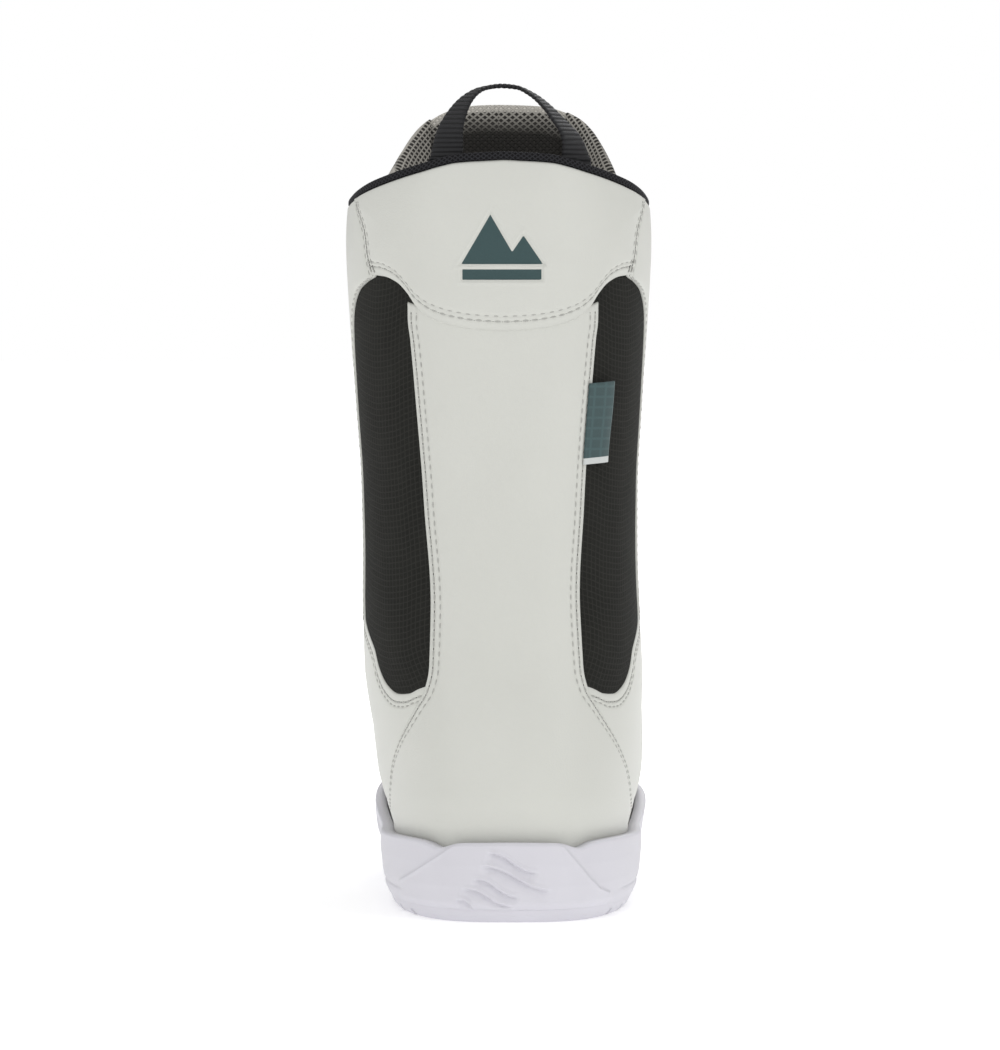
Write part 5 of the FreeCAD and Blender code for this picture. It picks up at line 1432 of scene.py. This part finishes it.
def underside(y):
    past = np.maximum(0.0, (y + BACK - 218.0) / 62.0)
    return 9.0 * past * past


HEEL_GROOVES = [((-10.0, 27.2), (10.4, 19.2)), ((-12.4, 22.2), (15.6, 12.4)), ((-15.4, 17.0), (3.4, 10.0)),
                ((-19.6, 13.2), (1.4, 6.4)), ((-22.0, 8.8), (-10.4, 3.6))]


def heel_relief(x, z):
    """Relief of the heel: a raised panel between two slanting lines, and slanting cuts across it. Each
    cut is deep under a crisp upper edge and fades as e^(-d/2.4) below it and to nothing at its ends."""
    left = np.interp(z, (12.2, 30.8), (-45.4, -20.7))
    right = np.interp(z, (9.9, 12.5, 16.3, 22.8, 30.0), (38.6, 34.0, 30.2, 24.9, 19.2))
    panel = np.minimum((x - left) * 0.6, (right - x) * 0.65)
    relief = 0.85 * smooth_step(panel / 0.9 + 0.5) + 0.35 * np.exp(-(panel / 0.8) ** 2)
    for (x0, z0), (x1, z1) in HEEL_GROOVES:
        run = math.hypot(x1 - x0, z1 - z0)
        ux, uz = (x1 - x0) / run, (z1 - z0) / run
        t = ((x - x0) * ux + (z - z0) * uz) / run
        below = -((x - x0) * -uz + (z - z0) * ux) + 1.0 * np.sin(np.clip(t, 0, 1) * math.pi * 2)
        cut = smooth_step(below / 0.7 + 0.5) * np.exp(-np.maximum(below, 0) / 2.6)
        ends = smooth_step(t / 0.16) * smooth_step((1 - t) / 0.16)
        relief = relief - 1.9 * cut * ends
        relief = relief + 0.45 * np.exp(-((below + 0.9) / 0.7) ** 2) * ends
    return relief


def facets(y, z):
    """Facets of the forefoot's inner side: two slanting triangle waves added together."""
    first = np.abs(((y + 1.6 * z) / 17.0) % 1.0 - 0.5)
    second = np.abs(((y - 1.5 * z) / 14.0) % 1.0 - 0.5)
    return 2.6 * (np.maximum(first, second) - 0.25)


class BOOT_OT_sole(bpy.types.Operator):
    """Make the cup of the sole with its sculpted heel and faceted forefoot"""
    bl_idname = "boot.sole"
    bl_label = "Sole"

    def execute(self, context):
        phi = crowded_ring(980)
        x0, y0 = plan_ring(phi, PLAN_LEVEL, SOLE_OUT)
        dips = -2.2 * np.exp(-((np.abs(x0 + 1.0) - 27.0) / 5.0) ** 2) * (y0 < 0)
        rim = rim_height(y0 + BACK) + dips + 0.5 * np.exp(-(x0 / 20.0) ** 2) * (y0 < -20)
        low = TREAD + underside(y0)
        share = np.concatenate([np.linspace(0, 0.96, 66), [0.985, 1.0]])[:, None]
        z = low + (rim - low) * share
        level = z - underside(y0) * (1 - share)
        out = np.interp(level, WALL_LEVELS, WALL_OUT + SOLE_OUT)
        out = out - 0.7 * (share > 0.99) - 0.25 * ((share > 0.97) & (share < 0.99))
        fade = smooth_step((share) / 0.08) * smooth_step((1 - share) / 0.05)
        rear_side = smooth_step((-10.0 - y0) / 14.0)
        out = out + heel_relief(np.broadcast_to(x0, z.shape), z) * fade * rear_side
        inner_side = (smooth_step((-x0 - 20.0) / 12.0) * smooth_step((y0 - 30.0) / 14.0)
                      * smooth_step((190.0 - y0) / 22.0))
        out = out + facets(y0, z) * inner_side * fade * smooth_step((rim - 3.0 - z) / 3.0)
        groove = np.exp(-((z - low - 5.4) / 0.6) ** 2) * 0.5 * (1 - rear_side) * (1 - inner_side)
        out = out - groove
        draw = np.interp(level, WALL_LEVELS, WALL_DRAW)
        wx, wy = plan_ring(np.broadcast_to(phi, z.shape), PLAN_LEVEL, out, draw)
        wall = np.stack([wx, wy, z], -1)
        rings = [wall]
        lip_z = np.maximum(rim - 0.35, POCKET_FLOOR + 1.0)
        for down, gap in ((0.0, 0.75), (0.4, 0.45), (1.0, 0.4)):
            lining = lip_z * (1 - down) + POCKET_FLOOR * down
            ix, iy = plan_ring(phi, lining, gap)
            rings.append(np.stack([ix, iy, lining], -1)[None])
        cx, cy = spine_point(y0)
        rings.append(np.stack([cx, cy, np.full(x0.shape, POCKET_FLOOR)], -1)[None])
        bottom = wall[0]
        mid = np.stack([bottom[:, 0] * 0.5 + cx * 0.5, bottom[:, 1] * 0.5 + cy * 0.5,
                        TREAD + underside(bottom[:, 1] * 0.5 + cy * 0.5)], -1)[None]
        core = np.stack([cx, cy, TREAD + underside(cy)], -1)[None]
        item = ring_mesh("sole_cup", np.concatenate([core, mid] + rings))
        dress(item, sole_rubber_material())
        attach(item, "foot")
        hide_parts("midsole_cup")
        return {"FINISHED"}


def crowded_ring(count):
    """Angles round the foot, closer together at the heel, where the relief is finest."""
    t = np.linspace(-np.pi, np.pi, count, endpoint=False)
    return np.degrees(t - 0.35 * np.sin(t))


# ---------------------------------------------------------------- lace
GUIDE_LEVELS = (198.0, 162.0, 102.0, 84.0)
GUIDE_TURN, GUIDE_SETBACK, LACE_LIFT, LACE_R = 5.0, 8.5, 3.6, 0.65
DIAL_AXIS_TILT, DIAL_Z, PORT_ANGLE, PORT_LEVEL = 4.3, 224.0, 55.0, 6.2


def lace_point(x, z, lift):
    phi = math.copysign(float(angle_at(abs(x), z, front=True)), x) if abs(x) > 0.5 else 180.0
    return body(phi, z, lift)


def guide_turn(side, z):
    edge = float(throat_half(z))
    far, near, h = edge + GUIDE_SETBACK, edge + 1.5, GUIDE_TURN
    places = [(near, z + h * 1.15), (far - 2.2, z + h), (far, z), (far - 2.2, z - h), (near, z - h * 1.15)]
    return [lace_point(side * x, level, LACE_LIFT) for x, level in places]


def crossing(side, z_from, z_to):
    lift = LACE_LIFT + 1.6 + (0.9 if side > 0 else -0.9)
    start, end = guide_turn(side, z_from)[-1], guide_turn(-side, z_to)[0]
    middle, step = (start[2] + end[2]) / 2, (start[2] - end[2]) * 0.2
    return [lace_point(side * 9.0, middle + step, lift), lace_point(-side * 9.0, middle - step, lift)]


def lace_route(hand):
    """One half of the lace, from the spool to the middle of its lowest crossing."""
    seat = body(180.0, DIAL_Z, 0.8)
    tilt, turn = math.radians(DIAL_AXIS_TILT), math.radians(hand * PORT_ANGLE)
    axis = np.array([0, math.cos(tilt), -math.sin(tilt)])
    down = np.array([0, -math.sin(tilt), -math.cos(tilt)])
    across = np.array([1.0, 0, 0])
    way = across * math.sin(turn) + down * math.cos(turn)
    route = [seat + axis * PORT_LEVEL + way * r for r in (12.5, 19.7)]
    for k, z in enumerate(GUIDE_LEVELS):
        side = hand * (-1) ** k
        route += guide_turn(side, z)
        if k + 1 < len(GUIDE_LEVELS):
            route += crossing(side, z, GUIDE_LEVELS[k + 1])
    side = hand * (-1) ** (len(GUIDE_LEVELS) - 1)
    low = route[-1][2] - 0.8
    return np.array(route + [lace_point(side * x, low, LACE_LIFT) for x in (7.0, 0.01)])


def smooth_way(points, first, last, steps=9):
    """The quadratic spline that has the points as its corners, from the middle of run first to the
    middle of run last: on each corner (1-t)^2 a + 2 t (1-t) p + t^2 b, with a and b the runs' middles."""
    middles = (points[:-1] + points[1:]) / 2
    t = np.linspace(0, 1, steps, endpoint=False)[:, None]
    pieces = []
    if first == 0:
        pieces.append(points[0] * (1 - t) + middles[0] * t)
    for k in range(first + 1, last + 1):
        pieces.append((1 - t) ** 2 * middles[k - 1] + 2 * t * (1 - t) * points[k] + t * t * middles[k])
    end = middles[last:last + 1]
    if last == len(points) - 2:
        end = np.stack([middles[last], points[-1]])
    return np.concatenate(pieces + [end])


def tube(name, way, radius, turns=10):
    """A round tube along a way: way + radius (cos side + sin up)."""
    forward = np.gradient(way, axis=0)
    forward /= np.linalg.norm(forward, axis=1, keepdims=True)
    side = np.cross(forward, np.array([0.0, 1.0, 0.0]))
    side /= np.linalg.norm(side, axis=1, keepdims=True)
    up = np.cross(side, forward)
    t = np.linspace(0, 2 * np.pi, turns, endpoint=False)
    points = way[:, None] + radius * (np.cos(t)[None, :, None] * side[:, None]
                                      + np.sin(t)[None, :, None] * up[:, None])
    a, b = points.shape[:2]
    run = run_lengths(way)
    uv = np.stack([np.broadcast_to(run[:, None], (a, b)), np.broadcast_to(t * radius, (a, b))], -1)
    item = make_mesh(name, points.reshape(-1, 3), ring_faces(a, b)[:, [0, 3, 2, 1]], uv.reshape(-1, 2))
    close_ends(item)
    return item


class BOOT_OT_lace(bpy.types.Operator):
    """Make the steel lace in three parts, upper, middle and lower, the lower one fixed to the foot"""
    bl_idname = "boot.lace"
    bl_label = "Lace"

    def execute(self, context):
        for hand, label in ((1, "a"), (-1, "b")):
            route = lace_route(hand)
            last = len(route) - 2
            for part, first, end in (("upper", 0, 11), ("middle", 11, 17), ("lower", 17, last)):
                item = tube("lace_%s_%s" % (part, label), smooth_way(route, first, end), LACE_R)
                dress(item, steel_lace_material())
                if part == "upper":
                    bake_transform(item)
                elif part == "middle":
                    bend_at_ankle(item)
                else:
                    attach(item, "foot")
                if hand == 1:
                    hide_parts("lace_" + part)
        return {"FINISHED"}


# ---------------------------------------------------------------- finishes of the frame's own nodes
NODE_FINISH = {
    "heel_tread": sole_rubber_material, "forefoot_tread": sole_rubber_material,
    "shank_plate": black_plastic_material, "lasting_board": pressed_board_material,
    "liner_sole": pressed_board_material,
    "dial_housing": black_plastic_material, "dial_knob": black_plastic_material,
    "dial_drive_plate": black_plastic_material, "dial_spool": black_plastic_material,
    "dial_ratchet_ring": black_plastic_material, "dial_grip_ring": grip_rubber_material,
    "dial_retaining_clip": steel_material,
}
for level in ("upper", "middle", "instep", "vamp"):
    for hand in ("left", "right"):
        NODE_FINISH["lace_guide_%s_%s" % (level, hand)] = black_plastic_material


class BOOT_OT_finishes(bpy.types.Operator):
    """Give the frame's own nodes their materials"""
    bl_idname = "boot.finishes"
    bl_label = "Finishes of the frame"

    def execute(self, context):
        for name, material in NODE_FINISH.items():
            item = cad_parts[name]
            item = item if hasattr(item, "data") else bpy.data.objects[name]
            item.data.materials.clear()
            item.data.materials.append(material())
        return {"FINISHED"}


# ---------------------------------------------------------------- stage
FLOOR_EDGE = 12000.0
VIEW_TARGET = (-0.0045, -0.05, 0.152)
VIEW_ELEVATION = 2.5       # degrees
VIEW_WIDTH = 0.399         # metres that the view takes in at the target
LIGHTS = (("key_left", (-1.5, -1.7, 1.2), 1.3, 9.0), ("key_right", (1.7, -1.3, 1.0), 1.3, 9.0),
          ("top", (0.0, 0.1, 2.2), 1.8, 12.0), ("front", (0.6, 2.4, 1.4), 1.5, 12.0))


class BOOT_OT_stage(bpy.types.Operator):
    """Make the floor, the soft lights and the camera"""
    bl_idname = "boot.stage"
    bl_label = "Stage"

    def execute(self, context):
        scene = context.scene
        corners = FLOOR_EDGE * np.array([[-1, -1, 0], [1, -1, 0], [1, 1, 0], [-1, 1, 0]], float)
        floor = make_mesh("floor", corners, np.array([[0, 1, 2, 3]]))
        material, n, shader = new_material("floor")
        shader.inputs["Base Color"].default_value = (0.97, 0.97, 0.97, 1)
        shader.inputs["Roughness"].default_value = 1.0
        shader.inputs["Specular IOR Level"].default_value = 0.0
        # painted light: the floor glows, its emission rising from 0.3 under the boot to 0.72 further from the
        # camera
        shader.inputs["Emission Color"].default_value = (1, 1, 1, 1)
        place = n.tree.nodes.new("ShaderNodeSeparateXYZ")
        n.give(place.inputs[0], coordinates(n))
        n.give(shader.inputs["Emission Strength"], n.span(place.outputs["Y"], 0.15, 1.3, 0.3, 0.72))
        floor.data.materials.append(material)
        world = bpy.data.worlds.new("studio")
        world.use_nodes = True
        sky = Nodes(world.node_tree)
        background = world.node_tree.nodes["Background"]
        background.inputs["Color"].default_value = (1, 1, 1, 1)
        seen = sky.tree.nodes.new("ShaderNodeLightPath").outputs["Is Camera Ray"]
        sky.give(background.inputs["Strength"], sky.span(seen, 0.0, 1.0, 0.48, 1.0))
        scene.world = world
        scene.view_settings.view_transform = "Standard"
        target = Vector(VIEW_TARGET)
        for name, place, size, power in LIGHTS:
            light = bpy.data.lights.new(name, "AREA")
            light.size = size
            light.energy = power
            item = bpy.data.objects.new(name, light)
            item.location = place
            item.rotation_euler = (target - Vector(place)).to_track_quat("-Z", "Y").to_euler()
            scene.collection.objects.link(item)
        distance = scene.boot_sizes.camera_distance
        elevation = math.radians(VIEW_ELEVATION)
        camera = bpy.data.cameras.new("camera")
        camera.sensor_width = 36.0
        camera.lens = camera.sensor_width * distance / VIEW_WIDTH
        camera.clip_end = 50.0
        item = bpy.data.objects.new("camera", camera)
        item.location = target + distance * Vector((0, -math.cos(elevation), math.sin(elevation)))
        item.rotation_euler = (target - item.location).to_track_quat("-Z", "Y").to_euler()
        scene.collection.objects.link(item)
        scene.camera = item
        return {"FINISHED"}


ORDER = (BOOT_OT_stage, BOOT_OT_boards, BOOT_OT_spine, BOOT_OT_collar, BOOT_OT_quarters,
         BOOT_OT_flaps, BOOT_OT_vamp, BOOT_OT_side_textiles, BOOT_OT_tongue, BOOT_OT_binding,
         BOOT_OT_pull_loop, BOOT_OT_label, BOOT_OT_liner, BOOT_OT_footbed,
         BOOT_OT_sole, BOOT_OT_lace, BOOT_OT_finishes)


class BOOT_PT_panel(bpy.types.Panel):
    """Lists the boot's pieces and the sizes and colours to change"""
    bl_idname = "BOOT_PT_panel"
    bl_label = "Snowboard boot"
    bl_space_type = "VIEW_3D"
    bl_region_type = "UI"
    bl_category = "Boot"

    def draw(self, context):
        for group in (context.scene.boot_sizes, context.scene.boot_colours):
            for key in group.bl_rna.properties.keys():
                if key not in ("rna_type", "name"):
                    self.layout.prop(group, key)
        for operator in ORDER:
            self.layout.operator(operator.bl_idname)


CLASSES = (BootColours, BootSizes) + ORDER + (BOOT_PT_panel,)


def register():
    for item in CLASSES:
        bpy.utils.register_class(item)
    bpy.types.Scene.boot_colours = bpy.props.PointerProperty(type=BootColours)
    bpy.types.Scene.boot_sizes = bpy.props.PointerProperty(type=BootSizes)


def unregister():
    del bpy.types.Scene.boot_sizes
    del bpy.types.Scene.boot_colours
    for item in reversed(CLASSES):
        bpy.utils.unregister_class(item)


def main():
    register()
    for operator in ORDER:
        name = operator.bl_idname.split(".")[1]
        getattr(bpy.ops.boot, name)()


if __name__ == "__main__":
    main()
